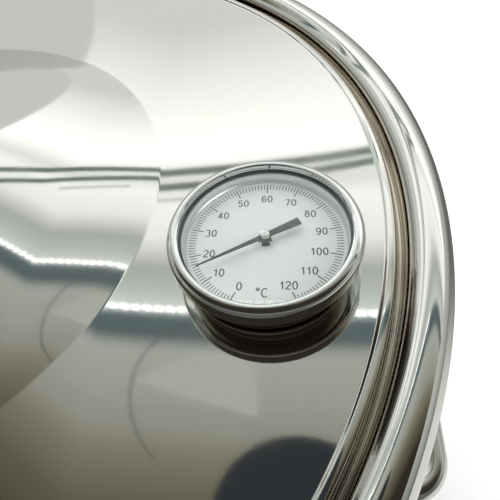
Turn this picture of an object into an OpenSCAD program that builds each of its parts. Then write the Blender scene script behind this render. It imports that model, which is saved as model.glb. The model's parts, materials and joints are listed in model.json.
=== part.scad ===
// Stainless brew kettle with a recessed lid, a dial thermometer set in the lid, two side
// handles and a quarter-turn tap. +Z is up, the origin is on the kettle's axis at the floor,
// the tap faces -Y, and the dial reads upright to someone who stands at the tap.

/* [Pot] */
// Inside diameter of the pot
pot_id = 350; // [340:1:370]
// Height from the floor to the top of the rim bead
pot_h = 350; // [300:5:400]
// Sheet thickness of the pot
pot_t = 1.2; // [1:0.1:1.5]
// Radius of the rolled rim bead
bead_r = 3.5; // [3:0.1:3.6]
// Inside radius of the bottom corner
corner_r = 14; // [10:1:18]
// Thickness of the sandwich base
base_t = 6; // [4:0.5:8]
// Radius of the sandwich base
base_r = 156; // [140:1:158]

/* [Side handles] */
// Height of the side handles above the floor
grip_z = 200; // [180:1:280]
// Distance between the two legs of a side handle
grip_span = 110; // [95:1:130]
// How far the grip stands out from the kettle's axis
grip_reach = 212; // [208:1:230]
// Radius of the handle bar
bar_r = 6; // [5:0.5:7]

/* [Lid] */
// Sheet thickness of the lid
lid_t = 0.8; // [0.6:0.1:1]
// Radius of the crease round the domed middle
crease_r = 97; // [85:1:102]
// Rise of the domed middle
dome_h = 6.2; // [2:0.1:8]
// Radius where the flat plate ends in its ridge
plate_r = 168; // [164:0.5:168]
// Distance between the feet of the lid handle
lid_grip_span = 92; // [80:1:110]
// Height of the lid handle above its feet
lid_grip_h = 38; // [34:1:45]

/* [Thermometer] */
// Distance of the dial from the kettle's axis
dial_dist = 135.5; // [130:0.5:138]
// Bearing of the dial round the lid, from +X
dial_bearing = -10; // [-40:1:40]
// Outside radius of the bezel
bezel_r = 26.3; // [26:0.1:28]
// Height of the bezel's front above the lid plate
dial_h = 13.8; // [13.5:0.1:24]
// Length of the probe below the lid
probe_len = 150; // [120:5:200]
// Radius of the probe stem
probe_r = 3; // [3:0.5:3.5]
// Temperature that the pointer shows at rest, in degrees Celsius
rest_temp = 14.5; // [0:0.5:120]

/* [Tap] */
// Height of the tap's axis above the floor
tap_z = 46; // [42:1:60]
// Length of the lever from its stem
lever_len = 92; // [80:1:110]
// Outside radius of the hose spigot
spigot_r = 6.6; // [6:0.1:7]
// Length of the plain part of the hose spigot
spigot_len = 30; // [24:1:40]

/* [Hidden] */
$fn = 128;
fine = 720;                                  // facets of the pot's wall where seals lie on it
gap = 0.3;                                   // between pieces that move past each other
slip = 0.05;                                 // radial clearance of a fitted shaft
cut = 1;                                     // how far a cutter passes a face

pot_r = pot_id / 2;
pot_or = pot_r + pot_t;
floor_z = base_t + pot_t;
bead_x = pot_r + bead_r;

// the lid's own levels, measured at the middle of its sheet
roll_r = 5.8;                                // radius of the lid's outer roll
roll_x = pot_r + 4.8;
roll_dz = -0.5;                              // centre of the roll, from the plate
bead_dx = roll_x - bead_x;
bead_fit = roll_r - lid_t / 2 - bead_r - gap;
bead_dz = sqrt(bead_fit * bead_fit - bead_dx * bead_dx);
plate_z = pot_h - bead_r - roll_dz - bead_dz;
plate_top = plate_z + lid_t / 2;
lip_z = -7;                                  // hem of the lid's skirt, from the plate
hem_r = 0.9;
ridge_h = 0.6;
groove_r = 1.5;                              // radius at the bottom of the groove
groove_z = -4.6;                             // bottom of the groove, from the plate
wall_x = roll_x - roll_r;                    // inner wall of the roll
groove_x = wall_x - groove_r;
dome_rad = (crease_r * crease_r + dome_h * dome_h) / (2 * dome_h);

lid_bar_r = 4.5;
foot_r = 15;
foot_t = 2.2;
foot_tilt = asin(lid_grip_span / 2 / dome_rad);
foot_z = plate_top + dome_h - dome_rad + dome_rad * cos(foot_tilt);
lid_rivet_x = 9.5;
rivet_r = 2.4;
dish = 0.17;                                 // the dome falls away over a flat rivet head

dial_pos = [dial_dist * cos(dial_bearing), dial_dist * sin(dial_bearing), plate_top];
gasket_t = 1;
sheet = 0.8;                                 // case and bezel sheet
case_r = bezel_r - 2.8;
flange_r = bezel_r - 1.5;
lens_t = 1.6;
lens_top = dial_h - 1;
lens_z = lens_top - lens_t;
flange_top = lens_z - sheet;
flange_z = flange_top - sheet;
dial_z = dial_h - 6.6;                       // printed face of the dial
dial_t = 0.6;
dial_rim = case_r - sheet - 0.2;
boss_r = 10.4;
boss_pitch = 1.8;
boss_head_r = 13;
boss_bottom = -16;
shaft_r = 0.6;
needle_z = dial_h - 4.5;
needle_t = 0.4;
deg_per_c = 2.6;
mid_temp = 60;                               // the mark at the top of the dial
needle_turn = 90 - deg_per_c * (rest_temp - mid_temp);
needle_len = 20.1;
tail_len = 10.6;

nipple_r = 10.4;
nipple_bore = 7.5;
nipple_in = pot_r - 18;
nipple_out = pot_or + 19;
seal_t = 2.3;
seal_r = 16;
tap_u = pot_or + 35;                         // ball centre, from the kettle's axis
ball_r = 11;
port_r = 6.5;
chamber_r = 12.7;
chamber_in = tap_u - 15;
chamber_out = tap_u + 11;
body_in = pot_or + seal_t + 2;
neck_r = 10;
neck_top = 28;                               // heights below are above the tap's axis
packing_r = 7;
packing_z = 21;
gland_z = 25.5;
stem_r = 4;
lever_z = 36;
lever_t = 2.5;
lever_half = 7;                              // half the lever's width
lever_root = 26;                             // from the stem to the lever's bend
lever_rise = 12;                             // angle of the arm above level
stem_top = 46;
hex_cap = 27;
cap_out = tap_u + 24;
spigot_hex = cap_out + 7;
tube_r = 7.4;
tube_wall = 1;
bend_r = 16;
bend_u = nipple_in - 12;

function polar(r, a) = [r * cos(a), r * sin(a)];
function foot_y() = lid_grip_span / 2;

// a straight stretch of sheet between two points of a section
module line_band(p, q, t) {
    d = (q - p) / norm(q - p);
    n = [-d.y, d.x] * t / 2;
    polygon([p - n, q - n, q + n, p + n]);
}

// a round stretch of sheet of a section, from angle a to angle b about c
module arc_band(c, r, t, a, b) {
    far = 3 * r;
    intersection() {
        translate(c) difference() {
            circle(r = r + t / 2);
            circle(r = r - t / 2);
        }
        polygon([c, for (i = [0:4]) c + polar(far, a + (b - a) * i / 4)]);
    }
}

module ring(r_in, r_out, h) {
    difference() {
        cylinder(r = r_out, h = h);
        translate([0, 0, -cut]) cylinder(r = r_in, h = h + 2 * cut);
    }
}

module hex(across, h) {
    cylinder(r = across / 2 / cos(30), h = h, $fn = 6);
}

module hex_ring(across, r_in, h) {
    difference() {
        hex(across, h);
        translate([0, 0, -cut]) cylinder(r = r_in, h = h + 2 * cut);
    }
}

// a screw thread drawn as rings, running down from z = 0
module thread_rings(r, pitch, turns) {
    depth = pitch * 0.35;
    rotate_extrude() polygon(concat([[0, 0]],
        [for (i = [0:turns - 1]) each [[r - depth, -i * pitch], [r, -(i + 0.5) * pitch]]],
        [[r - depth, -turns * pitch], [0, -turns * pitch]]));
}

// ---- pot ----

module grip_angles() {
    for (side = [0, 180], leg = [-1, 1])
        rotate(side + leg * asin(grip_span / 2 / pot_or)) children();
}

module rivet_places() {
    grip_angles() for (dz = [-16, 16]) translate([0, 0, grip_z + dz]) rotate([0, 90, 0]) children();
}

module pot_section() {
    square_top = pot_h - bead_r - base_t;
    translate([0, base_t]) square([pot_r - corner_r, pot_t]);
    arc_band([pot_r - corner_r, floor_z + corner_r], corner_r + pot_t / 2, pot_t, -90, 0);
    translate([pot_r, floor_z + corner_r]) square([pot_t, square_top - pot_t - corner_r]);
    translate([bead_x, pot_h - bead_r]) difference() {
        circle(r = bead_r);
        circle(r = bead_r - pot_t);
    }
}

module pot_shell() {
    color("#c9cbc8") difference() {
        rotate_extrude() pot_section();
        rivet_places() cylinder(r = rivet_r + slip, h = 2 * pot_r);
        tap_axis() translate([0, 0, pot_r - 10]) cylinder(r = nipple_r + gap, h = 20);
    }
}

module base_disc() {
    edge = 2;
    color("#b4b6b3") rotate_extrude() {
        square([base_r - edge, base_t]);
        square([base_r, base_t - edge]);
        translate([base_r - edge, base_t - edge]) circle(r = edge);
    }
}

module side_handle() {
    turn = 16;                               // bend radius of the bar
    inner = pot_or + 4;
    half = grip_span / 2;
    straight = grip_reach - bar_r - turn - inner;
    translate([0, 0, grip_z]) {
        for (s = [-1, 1]) {
            translate([inner, s * half, 0]) rotate([0, 90, 0]) cylinder(r = bar_r, h = straight);
            translate([inner + straight, s * (half - turn), 0])
                rotate(s > 0 ? 0 : -90) rotate_extrude(angle = 90) translate([turn, 0]) circle(r = bar_r);
        }
        translate([grip_reach - bar_r, half - turn, 0]) rotate([90, 0, 0])
            cylinder(r = bar_r, h = grip_span - 2 * turn);
    }
}

module right_handle() {
    color("#cfd1ce") side_handle();
}

module left_handle() {
    color("#cfd1ce") rotate(180) side_handle();
}

// riveted plates bent to the wall, each with a socket that holds one leg
module handle_brackets() {
    plate_t = 2.5;
    plate_w = 28;
    plate_h = 48;
    socket_r = bar_r + 3;
    half = grip_span / 2;
    color("#c3c5c2") for (side = [0, 180], s = [-1, 1]) rotate(side) difference() {
        union() {
            intersection() {
                translate([0, 0, grip_z - plate_h / 2]) cylinder(r = pot_or + plate_t, h = plate_h);
                rotate(s * asin(half / pot_or)) translate([pot_r - 20, -plate_w / 2, grip_z - plate_h / 2])
                    cube([40, plate_w, plate_h]);
            }
            translate([pot_r - 20, s * half, grip_z]) rotate([0, 90, 0]) cylinder(r = socket_r, h = 34);
        }
        translate([0, 0, grip_z - plate_h]) cylinder(r = pot_or, h = 2 * plate_h);
        translate([pot_or + 4 - slip, s * half, grip_z]) rotate([0, 90, 0])
            cylinder(r = bar_r + slip, h = 40);
        rivet_places() cylinder(r = rivet_r + slip, h = 2 * pot_r);
    }
}

module rivet(grip, head_r) {
    head = 1.8;
    cylinder(r = rivet_r, h = grip);
    translate([0, 0, grip]) rotate_extrude() {
        square([head_r - head, head]);
        intersection() {
            translate([head_r - head, 0]) circle(r = head);
            square([head_r, head]);
        }
    }
    translate([0, 0, -1.2]) cylinder(r = head_r - 0.6, h = 1.2);
}

module handle_rivets() {
    color("#b9bbb8") rivet_places() translate([0, 0, pot_r - slip]) rivet(pot_t + 2.5 + slip, 5);
}

// ---- lid ----

module lid_section() {
    arc_band([0, dome_h - dome_rad], dome_rad, lid_t, 90 - asin(crease_r / dome_rad), 90);
    line_band([crease_r - 0.1, 0], [plate_r, 0], lid_t);
    line_band([plate_r - 0.2, 0], [plate_r + 0.6, ridge_h], lid_t);
    line_band([plate_r + 0.5, ridge_h], [groove_x - groove_r - 0.6, ridge_h], lid_t);
    line_band([groove_x - groove_r - 0.6, ridge_h + 0.2], [groove_x - groove_r, groove_z + groove_r], lid_t);
    arc_band([groove_x, groove_z + groove_r], groove_r, lid_t, 180, 360);
    line_band([wall_x, groove_z + groove_r], [wall_x, roll_dz], lid_t);
    arc_band([roll_x, roll_dz], roll_r, lid_t, 0, 180);
    line_band([roll_x + roll_r, lip_z], [roll_x + roll_r, roll_dz], lid_t);
    translate([roll_x + roll_r, lip_z]) circle(r = hem_r);
}

module foot_frames() {
    for (s = [-1, 1]) translate([0, s * foot_y(), foot_z]) rotate([-s * foot_tilt, 0, 0]) children();
}

module lid_panel() {
    color("#d2d3d0") difference() {
        translate([0, 0, plate_z]) rotate_extrude() lid_section();
        translate(dial_pos + [0, 0, -10]) cylinder(r = boss_r + gap, h = 20);
        foot_frames() for (dx = [-1, 1]) translate([dx * lid_rivet_x, 0, -10])
            cylinder(r = rivet_r + slip, h = 20);
    }
}

// a bent bar standing on two round feet
module lid_handle() {
    turn = 14;
    leg = lid_grip_h - lid_bar_r - turn;
    color("#cfd1ce") {
        translate([0, 0, foot_z]) rotate([90, 0, 90]) {
            for (s = [-1, 1]) {
                translate([s * foot_y(), foot_t / 2, 0]) rotate([-90, 0, 0])
                    cylinder(r = lid_bar_r, h = leg - foot_t / 2);
                translate([s * (foot_y() - turn), leg, 0]) rotate(s > 0 ? 0 : 90)
                    rotate_extrude(angle = 90) translate([turn, 0]) circle(r = lid_bar_r);
            }
            translate([foot_y() - turn, leg + turn, 0]) rotate([0, -90, 0])
                cylinder(r = lid_bar_r, h = lid_grip_span - 2 * turn);
        }
        foot_frames() difference() {
            cylinder(r = foot_r, h = foot_t);
            for (dx = [-1, 1]) translate([dx * lid_rivet_x, 0, -cut])
                cylinder(r = rivet_r + slip, h = foot_t + 2 * cut);
        }
    }
}

module lid_rivets() {
    color("#b9bbb8") foot_frames() for (dx = [-1, 1])
        translate([dx * lid_rivet_x, 0, -lid_t - dish]) rivet(lid_t + foot_t + dish, 4.6);
}

// ---- thermometer, drawn from the lid plate's top under the dial ----

module at_dial() {
    translate(dial_pos) children();
}

module case_gasket() {
    color("#1c1c1c") at_dial() ring(boss_r + gap, case_r - 2.5, gasket_t);
}

// drawn cup with an outward flange that the bezel is crimped over
module dial_case() {
    fillet = 2;
    color("#8d8b86") at_dial() rotate_extrude() {
        translate([boss_r + slip, gasket_t]) square([case_r - fillet - boss_r - slip, sheet]);
        arc_band([case_r - fillet, gasket_t + fillet], fillet - sheet / 2, sheet, -90, 0);
        translate([case_r - sheet, gasket_t + fillet]) square([sheet, flange_top - gasket_t - fillet]);
        translate([case_r - sheet, flange_z]) square([flange_r - case_r + sheet, sheet]);
    }
}

// rolled ring: a lip over the glass, a round outside and a curl under the case flange
module bezel_ring() {
    skin = flange_r + slip;
    half = (bezel_r - skin) / 2;
    bottom = flange_z - 1.6;
    color("#e3e5e5") at_dial() rotate_extrude() difference() {
        union() {
            translate([bezel_r - 1.6, dial_h - 1.6]) circle(r = 1.6);
            translate([case_r + 0.1, dial_h - 0.5]) circle(r = 0.5);
            translate([case_r + 0.1, dial_h - 1]) square([bezel_r - 1.6 - case_r - 0.1, 1]);
            translate([case_r + 0.1, lens_top]) square([1, 0.5]);
            translate([skin, bottom + half]) square([bezel_r - skin, dial_h - 1.6 - bottom - half]);
            translate([case_r + slip, bottom]) square([bezel_r - half - case_r - slip, 1.6]);
            translate([bezel_r - half, bottom + half]) circle(r = half);
        }
        translate([0, flange_z - slip]) square([skin, lens_top - flange_z + 2 * slip]);
    }
}

module dial_glass() {
    color("#dfe9ea", 0.35) at_dial() translate([0, 0, lens_z]) cylinder(r = flange_r, h = lens_t);
}

module lens_gasket() {
    color("#2a2b2b") at_dial() translate([0, 0, flange_top])
        ring(case_r - sheet + 0.1, flange_r, lens_z - flange_top);
}

// bright sleeve that stands between the dial and the glass
module lens_spacer() {
    color("#9da1a2") at_dial() translate([0, 0, dial_z])
        ring(dial_rim - 0.8, dial_rim, lens_z - dial_z - 0.1);
}

module dial_plate() {
    color("#dfe3e1") at_dial() translate([0, 0, dial_z - dial_t]) ring(1.8, dial_rim, dial_t);
}

module dial_sleeve() {
    foot = gasket_t + 2;
    color("#a8aaa8") at_dial() translate([0, 0, foot])
        ring(dial_rim - 1.2, dial_rim, dial_z - dial_t - foot);
}

module threaded_boss() {
    head_z = gasket_t + sheet;
    turns = floor((head_z - boss_bottom) / boss_pitch);
    color("#b8b09a") at_dial() difference() {
        union() {
            translate([0, 0, head_z]) cylinder(r = boss_head_r, h = 3);
            translate([0, 0, head_z]) thread_rings(boss_r, boss_pitch, turns);
        }
        translate([0, 0, boss_bottom - 10]) cylinder(r = probe_r + slip, h = 40);
    }
}

module boss_washer() {
    color("#c3c5c2") at_dial() translate([0, 0, -lid_t - 1.6]) ring(boss_r + gap, 17, 1.6);
}

module boss_nut() {
    color("#c3c5c2") at_dial() translate([0, 0, -lid_t - 1.6 - 6]) hex_ring(27, boss_r + slip, 6);
}

module probe_stem() {
    top = gasket_t + sheet + 4.5;
    color("#c9cbc8") at_dial() translate([0, 0, -probe_len + probe_r])
        ring(probe_r - 0.5, probe_r, probe_len - probe_r + top);
}

module probe_tip() {
    color("#c9cbc8") at_dial() translate([0, 0, -probe_len + probe_r]) {
        intersection() {
            sphere(r = probe_r);
            translate([0, 0, -probe_r]) cylinder(r = probe_r + cut, h = probe_r);
        }
        cylinder(r = probe_r - 0.5 - slip, h = 4);
    }
}

// wound strip near the tip, drawn as turns on a thin core
module bimetal_coil() {
    turns = 16;
    pitch = 2.4;
    color("#b08d57") at_dial() translate([0, 0, -probe_len + probe_r + 6]) {
        ring(1.3, 1.6, turns * pitch);
        for (i = [0:turns - 1]) translate([0, 0, i * pitch]) ring(1.3, 2.1, pitch * 0.6);
    }
}

module shaft_bush() {
    color("#c9a862") at_dial() ring(shaft_r + slip, probe_r - 0.5 - slip, 4);
}

module at_pointer() {
    at_dial() rotate(needle_turn) children();
}

module pointer_shaft() {
    bottom = -probe_len + probe_r + 12;
    color("#b9bbb8") at_dial() translate([0, 0, bottom]) cylinder(r = shaft_r, h = needle_z - bottom);
}

// long tapered needle and a short flared tail
module pointer() {
    hub = 1.7;
    color("#33383c") at_pointer() translate([0, 0, needle_z]) linear_extrude(needle_t) {
        circle(r = hub);
        polygon([[0, -0.75], [needle_len - 0.4, -0.14], [needle_len, 0], [needle_len - 0.4, 0.14],
            [0, 0.75]]);
        polygon([[0, -0.8], [0, 0.8], [-tail_len, 1.25], [-tail_len, -1.25]]);
    }
}

module pointer_collar() {
    color("#17191b") at_dial() translate([0, 0, dial_z + gap])
        ring(shaft_r + 0.02, 1.4, needle_z - dial_z - gap);
}

module pointer_cap() {
    cap_r = 1.4;
    color("#d8d9d4") at_dial() translate([0, 0, needle_z + needle_t]) rotate_extrude() {
        square([cap_r - 0.4, 0.8]);
        square([cap_r, 0.4]);
        translate([cap_r - 0.4, 0.4]) intersection() {
            circle(r = 0.4);
            square(0.4);
        }
    }
}

// ---- tap, drawn along +Z of a frame that points out of the wall at -Y ----

module tap_axis() {
    translate([0, 0, tap_z]) rotate([90, 0, 0]) children();
}

module at_stem() {
    translate([0, -tap_u, tap_z]) children();
}

module along(u) {
    tap_axis() translate([0, 0, u]) children();
}

module bulkhead_nipple() {
    color("#c9cbc8") along(nipple_in) ring(nipple_bore, nipple_r, nipple_out - nipple_in);
}

module inner_seal() {
    color("#d9d6cf") intersection() {
        along(pot_r - seal_t - 1) ring(nipple_r + slip, seal_r, seal_t + 3);
        translate([0, 0, tap_z - 2 * seal_r]) cylinder(r = pot_r, h = 4 * seal_r, $fn = fine);
    }
}

module outer_seal() {
    color("#d9d6cf") difference() {
        along(pot_or - 2) ring(nipple_r + slip, seal_r, seal_t + 2);
        translate([0, 0, tap_z - 2 * seal_r]) cylinder(r = pot_or, h = 4 * seal_r, $fn = fine);
    }
}

module tap_washer() {
    color("#c3c5c2") along(pot_or + seal_t) ring(nipple_r + slip, 17.5, 2);
}

module lock_nut() {
    nut_h = 8;
    color("#c3c5c2") along(pot_r - seal_t - 1 - nut_h) hex_ring(28, nipple_r + slip, nut_h);
}

// bent tube that draws from just above the floor
module pickup_tube() {
    drop = tap_z - bend_r - floor_z - 5;
    color("#c9cbc8") {
        along(bend_u) ring(tube_r - tube_wall, tube_r, nipple_in + 8 - bend_u);
        translate([0, -bend_u, tap_z - bend_r]) rotate([90, 0, 90]) rotate_extrude(angle = 90)
            translate([bend_r, 0]) difference() {
                circle(r = tube_r);
                circle(r = tube_r - tube_wall);
            }
        translate([0, -bend_u + bend_r, tap_z - bend_r - drop]) ring(tube_r - tube_wall, tube_r, drop);
    }
}

module valve_body() {
    hex_len = 11;
    color("#c3c5c2") difference() {
        union() {
            along(body_in) hex(27, hex_len);
            along(body_in + hex_len) cylinder(r = 16, h = chamber_out - body_in - hex_len);
            at_stem() cylinder(r = neck_r, h = neck_top);
        }
        along(body_in - cut) cylinder(r = nipple_r + slip, h = chamber_in - body_in + cut - 1);
        along(chamber_in - 2) cylinder(r = port_r, h = 4);
        along(chamber_in) cylinder(r = chamber_r, h = chamber_out - chamber_in + cut);
        at_stem() cylinder(r = stem_r + gap, h = neck_top + cut);
        at_stem() translate([0, 0, packing_z]) cylinder(r = packing_r, h = neck_top);
    }
}

module valve_end_cap() {
    color("#c3c5c2") difference() {
        union() {
            along(tap_u + 9.5) cylinder(r = chamber_r - slip, h = 4);
            along(chamber_out) hex(hex_cap, cap_out - chamber_out);
        }
        along(tap_u) cylinder(r = port_r, h = 40);
        along(tap_u + 14) cylinder(r = 9.4, h = 40);
    }
}

module ball_seats() {
    color("#f1efe9") for (s = [-1, 1]) difference() {
        along(tap_u + (s > 0 ? 5.2 : -15)) ring(port_r, chamber_r - 2 * slip, s > 0 ? 4.3 : 9.8);
        along(tap_u) sphere(r = ball_r + gap);
    }
}

// shut at rest, so its port lies across the tap
module valve_ball() {
    color("#d8dad8") at_stem() difference() {
        sphere(r = ball_r);
        translate([-20, 0, 0]) rotate([0, 90, 0]) cylinder(r = port_r, h = 40);
        translate([-20, -1.6, 8]) cube([40, 3.2, 10]);
    }
}

module valve_stem() {
    color("#c9cbc8") at_stem() {
        intersection() {
            translate([0, 0, 8.1]) cylinder(r = stem_r, h = 4);
            translate([-20, -1.5, 0]) cube([40, 3, 20]);
        }
        translate([0, 0, 11.2]) cylinder(r = stem_r, h = stem_top - 11.2);
    }
}

module stem_packing() {
    color("#f1efe9") at_stem() translate([0, 0, packing_z])
        ring(stem_r + slip, packing_r - slip, gland_z - packing_z);
}

module gland_nut() {
    color("#b9bbb8") at_stem() {
        translate([0, 0, gland_z]) ring(stem_r + gap, packing_r - slip, neck_top - gland_z);
        translate([0, 0, neck_top]) hex_ring(19, stem_r + gap, 6);
    }
}

// a point of the lever's rising arm: d along it from the bend, off square to it
function arm_point(d, off) = [lever_root + d * cos(lever_rise) - off * sin(lever_rise),
    d * sin(lever_rise) + off * cos(lever_rise)];

// what lies both in a side outline (child 0) and in a top outline of the arm (child 1)
module side_and_top() {
    intersection() {
        rotate([90, 0, 0]) translate([0, 0, -30]) linear_extrude(60) children(0);
        translate([0, 0, -30]) linear_extrude(80) children(1);
    }
}

module arm_top(start, half) {
    tip = lever_len - lever_half;
    translate([start, -half]) square([tip - start, 2 * half]);
    translate([tip, 0]) circle(r = half);
}

// flat steel lever, bent up from its root, that points to +X when the tap is shut
module tap_lever() {
    eye_r = 10;
    color("#c9cbc8") at_stem() translate([0, 0, lever_z]) difference() {
        side_and_top() {
            polygon([[-eye_r - cut, 0], [lever_root, 0], arm_point(lever_len, 0),
                arm_point(lever_len, lever_t), [lever_root - lever_t * tan(lever_rise / 2), lever_t],
                [-eye_r - cut, lever_t]]);
            union() {
                circle(r = eye_r);
                arm_top(0, lever_half);
            }
        }
        translate([0, 0, -cut]) cylinder(r = stem_r + slip, h = lever_t + 2 * cut);
    }
}

// soft sleeve pushed over the lever's arm
module lever_sleeve() {
    start = 12;
    wall = 1.6;
    color("#1f4e9c") at_stem() translate([0, 0, lever_z]) difference() {
        side_and_top() {
            polygon([arm_point(start, -wall), arm_point(lever_len, -wall),
                arm_point(lever_len, lever_t + wall), arm_point(start, lever_t + wall)]);
            arm_top(lever_root, lever_half + wall + 0.4);
        }
        side_and_top() {
            polygon([arm_point(2, -slip), arm_point(lever_len, -slip),
                arm_point(lever_len, lever_t + slip), arm_point(2, lever_t + slip)]);
            arm_top(0, lever_half + slip);
        }
    }
}

module lever_nut() {
    color("#b9bbb8") at_stem() translate([0, 0, lever_z + lever_t]) hex_ring(13, stem_r + slip, 5);
}

module hose_spigot() {
    shank = tap_u + 15;
    color("#c9cbc8") difference() {
        union() {
            along(shank) cylinder(r = 9.3, h = cap_out - shank);
            along(cap_out) hex(22, spigot_hex - cap_out);
            along(spigot_hex) cylinder(r = spigot_r, h = spigot_len);
        }
        along(shank - cut) cylinder(r = spigot_r - 1.8, h = 100);
    }
}

pot_shell();
base_disc();
right_handle();
left_handle();
handle_brackets();
handle_rivets();
lid_panel();
lid_handle();
lid_rivets();
case_gasket();
dial_case();
bezel_ring();
dial_glass();
lens_gasket();
lens_spacer();
dial_plate();
dial_sleeve();
threaded_boss();
boss_washer();
boss_nut();
probe_stem();
probe_tip();
bimetal_coil();
shaft_bush();
pointer_shaft();
pointer();
pointer_collar();
pointer_cap();
bulkhead_nipple();
inner_seal();
outer_seal();
tap_washer();
lock_nut();
pickup_tube();
valve_body();
valve_end_cap();
ball_seats();
valve_ball();
valve_stem();
stem_packing();
gland_nut();
tap_lever();
lever_sleeve();
lever_nut();
hose_spigot();
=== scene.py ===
"""Visual model of a stainless brew kettle.

A deep pot with two side handles and a quarter-turn tap, under a recessed, polished lid that
carries a dial thermometer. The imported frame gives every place; the classes below model the shown
pieces round it, finish them, set out a plain studio and aim the camera.
"""
import json
import logging
import math
from dataclasses import dataclass
from enum import Enum
from typing import Callable, Iterable, Optional

import bmesh
import bpy
from mathutils import Matrix, Vector


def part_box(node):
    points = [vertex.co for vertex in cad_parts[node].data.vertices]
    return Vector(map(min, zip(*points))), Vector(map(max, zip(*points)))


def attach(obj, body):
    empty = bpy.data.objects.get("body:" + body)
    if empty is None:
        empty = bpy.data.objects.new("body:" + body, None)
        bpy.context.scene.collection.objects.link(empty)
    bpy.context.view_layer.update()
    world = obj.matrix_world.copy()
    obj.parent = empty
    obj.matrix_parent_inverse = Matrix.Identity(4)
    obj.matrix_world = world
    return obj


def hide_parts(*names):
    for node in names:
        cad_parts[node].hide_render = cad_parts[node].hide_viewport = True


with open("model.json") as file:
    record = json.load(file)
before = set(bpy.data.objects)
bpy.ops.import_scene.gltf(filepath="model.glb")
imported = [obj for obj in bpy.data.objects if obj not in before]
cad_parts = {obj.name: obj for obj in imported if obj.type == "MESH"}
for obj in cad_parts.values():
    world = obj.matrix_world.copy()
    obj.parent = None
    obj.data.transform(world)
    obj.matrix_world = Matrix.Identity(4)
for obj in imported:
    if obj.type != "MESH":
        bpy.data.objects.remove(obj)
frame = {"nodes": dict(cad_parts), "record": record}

MM = 0.001
TAU = 2 * math.pi
UP = Vector((0, 0, 1))
OUT = Vector((0, -1, 0))
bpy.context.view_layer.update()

log = logging.getLogger("brew_kettle")

Point = tuple[float, float]
Colour = tuple[float, float, float]


# ---------------------------------------------------------------------------------------------
# places taken from the frame
# ---------------------------------------------------------------------------------------------

@dataclass(frozen=True)
class Places:
    """Places and levels that the frame gives, in metres."""
    pot_top: float
    rim_r: float
    lid_plate: float
    dial: Vector
    dial_face: float
    needle: float
    foot: float
    tap: Vector

    @staticmethod
    def read() -> "Places":
        """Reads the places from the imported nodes' boxes.

        Returns:
            The places that the classes below build round.
        """
        lid_lo, lid_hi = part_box("lid_panel")
        plate_lo, plate_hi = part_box("dial_plate")
        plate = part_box("case_gasket")[0][2]
        nip_lo, nip_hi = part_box("bulkhead_nipple")
        tap_z = (nip_lo[2] + nip_hi[2]) / 2
        middle = [(plate_lo[i] + plate_hi[i]) / 2 for i in (0, 1)]
        return Places(
            pot_top=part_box("pot_shell")[1][2],
            rim_r=(lid_hi[0] - lid_lo[0]) / 2,
            lid_plate=plate,
            dial=Vector((middle[0], middle[1], plate)),
            dial_face=plate_hi[2],
            needle=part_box("pointer")[0][2],
            foot=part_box("lid_rivets")[1][2],
            tap=Vector((0, 0, tap_z)),
        )


# ---------------------------------------------------------------------------------------------
# bench: outlines, spinning, bars and other ways of working
# ---------------------------------------------------------------------------------------------

class Outline:
    """A section drawn point by point in millimetres, as (radius, height)."""

    def __init__(self, r: float, z: float) -> None:
        """Starts the outline at one point.

        Args:
            r: Distance from the axis.
            z: Height.
        """
        self.points: list[Point] = [(r, z)]

    def to(self, r: float, z: float) -> "Outline":
        """Draws a straight line.

        Args:
            r: Distance of its end from the axis.
            z: Height of its end.

        Returns:
            The outline itself.
        """
        self.points.append((r, z))
        return self

    def arc(self, centre: Point, radius: float, start: float, end: float, steps: int = 8) -> "Outline":
        """Draws a round stretch.

        Args:
            centre: Centre of the arc.
            radius: Radius of the arc.
            start: First angle, in degrees from the outward direction.
            end: Last angle.
            steps: How many chords the arc has.

        Returns:
            The outline itself.
        """
        for i in range(steps + 1):
            a = math.radians(start + (end - start) * i / steps)
            p = (centre[0] + radius * math.cos(a), centre[1] + radius * math.sin(a))
            if math.dist(p, self.points[-1]) > 1e-3:
                self.points.append(p)
        return self

    def close(self) -> "Outline":
        """Draws a line back to the first point."""
        return self.to(*self.points[0])


def clear_selection() -> None:
    """Deselects every object, because operators act on all that is selected."""
    bpy.ops.object.select_all(action="DESELECT")


def edit(obj: bpy.types.Object) -> None:
    """Opens one object in edit mode with nothing else selected."""
    if bpy.context.mode != "OBJECT":
        bpy.ops.object.mode_set(mode="OBJECT")
    clear_selection()
    obj.select_set(True)
    bpy.context.view_layer.objects.active = obj
    bpy.ops.object.mode_set(mode="EDIT")


def pick(obj: bpy.types.Object, wanted: Callable[[Vector], bool], kind: str = "FACE") -> None:
    """Selects faces, edges or vertices of the mesh in edit mode by their place.

    Args:
        obj: The object in edit mode.
        wanted: Says of a centre whether it is wanted.
        kind: FACE, EDGE or VERT.
    """
    bpy.ops.mesh.select_mode(type=kind)
    bpy.ops.mesh.select_all(action="DESELECT")
    bm = bmesh.from_edit_mesh(obj.data)
    parts = {"FACE": bm.faces, "EDGE": bm.edges, "VERT": bm.verts}[kind]
    for part in parts:
        centre = part.co if kind == "VERT" else sum((v.co for v in part.verts), Vector()) / len(part.verts)
        part.select_set(wanted(centre))
    bm.select_flush_mode()
    bmesh.update_edit_mesh(obj.data)


def finish_mesh(obj: bpy.types.Object, angle: float = 32.0, turn_out: bool = True) -> bpy.types.Object:
    """Merges doubles, turns faces outwards and shades the mesh smooth up to an angle.

    Args:
        obj: The object to finish.
        angle: Edges sharper than this stay sharp, in degrees.
        turn_out: Whether the normals are worked out again.

    Returns:
        The same object, in object mode.
    """
    edit(obj)
    bpy.ops.mesh.select_all(action="SELECT")
    bpy.ops.mesh.remove_doubles(threshold=2e-6)
    if turn_out:
        bpy.ops.mesh.normals_make_consistent(inside=False)
    bpy.ops.object.mode_set(mode="OBJECT")
    bpy.ops.object.shade_smooth_by_angle(angle=math.radians(angle))
    return obj


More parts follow.
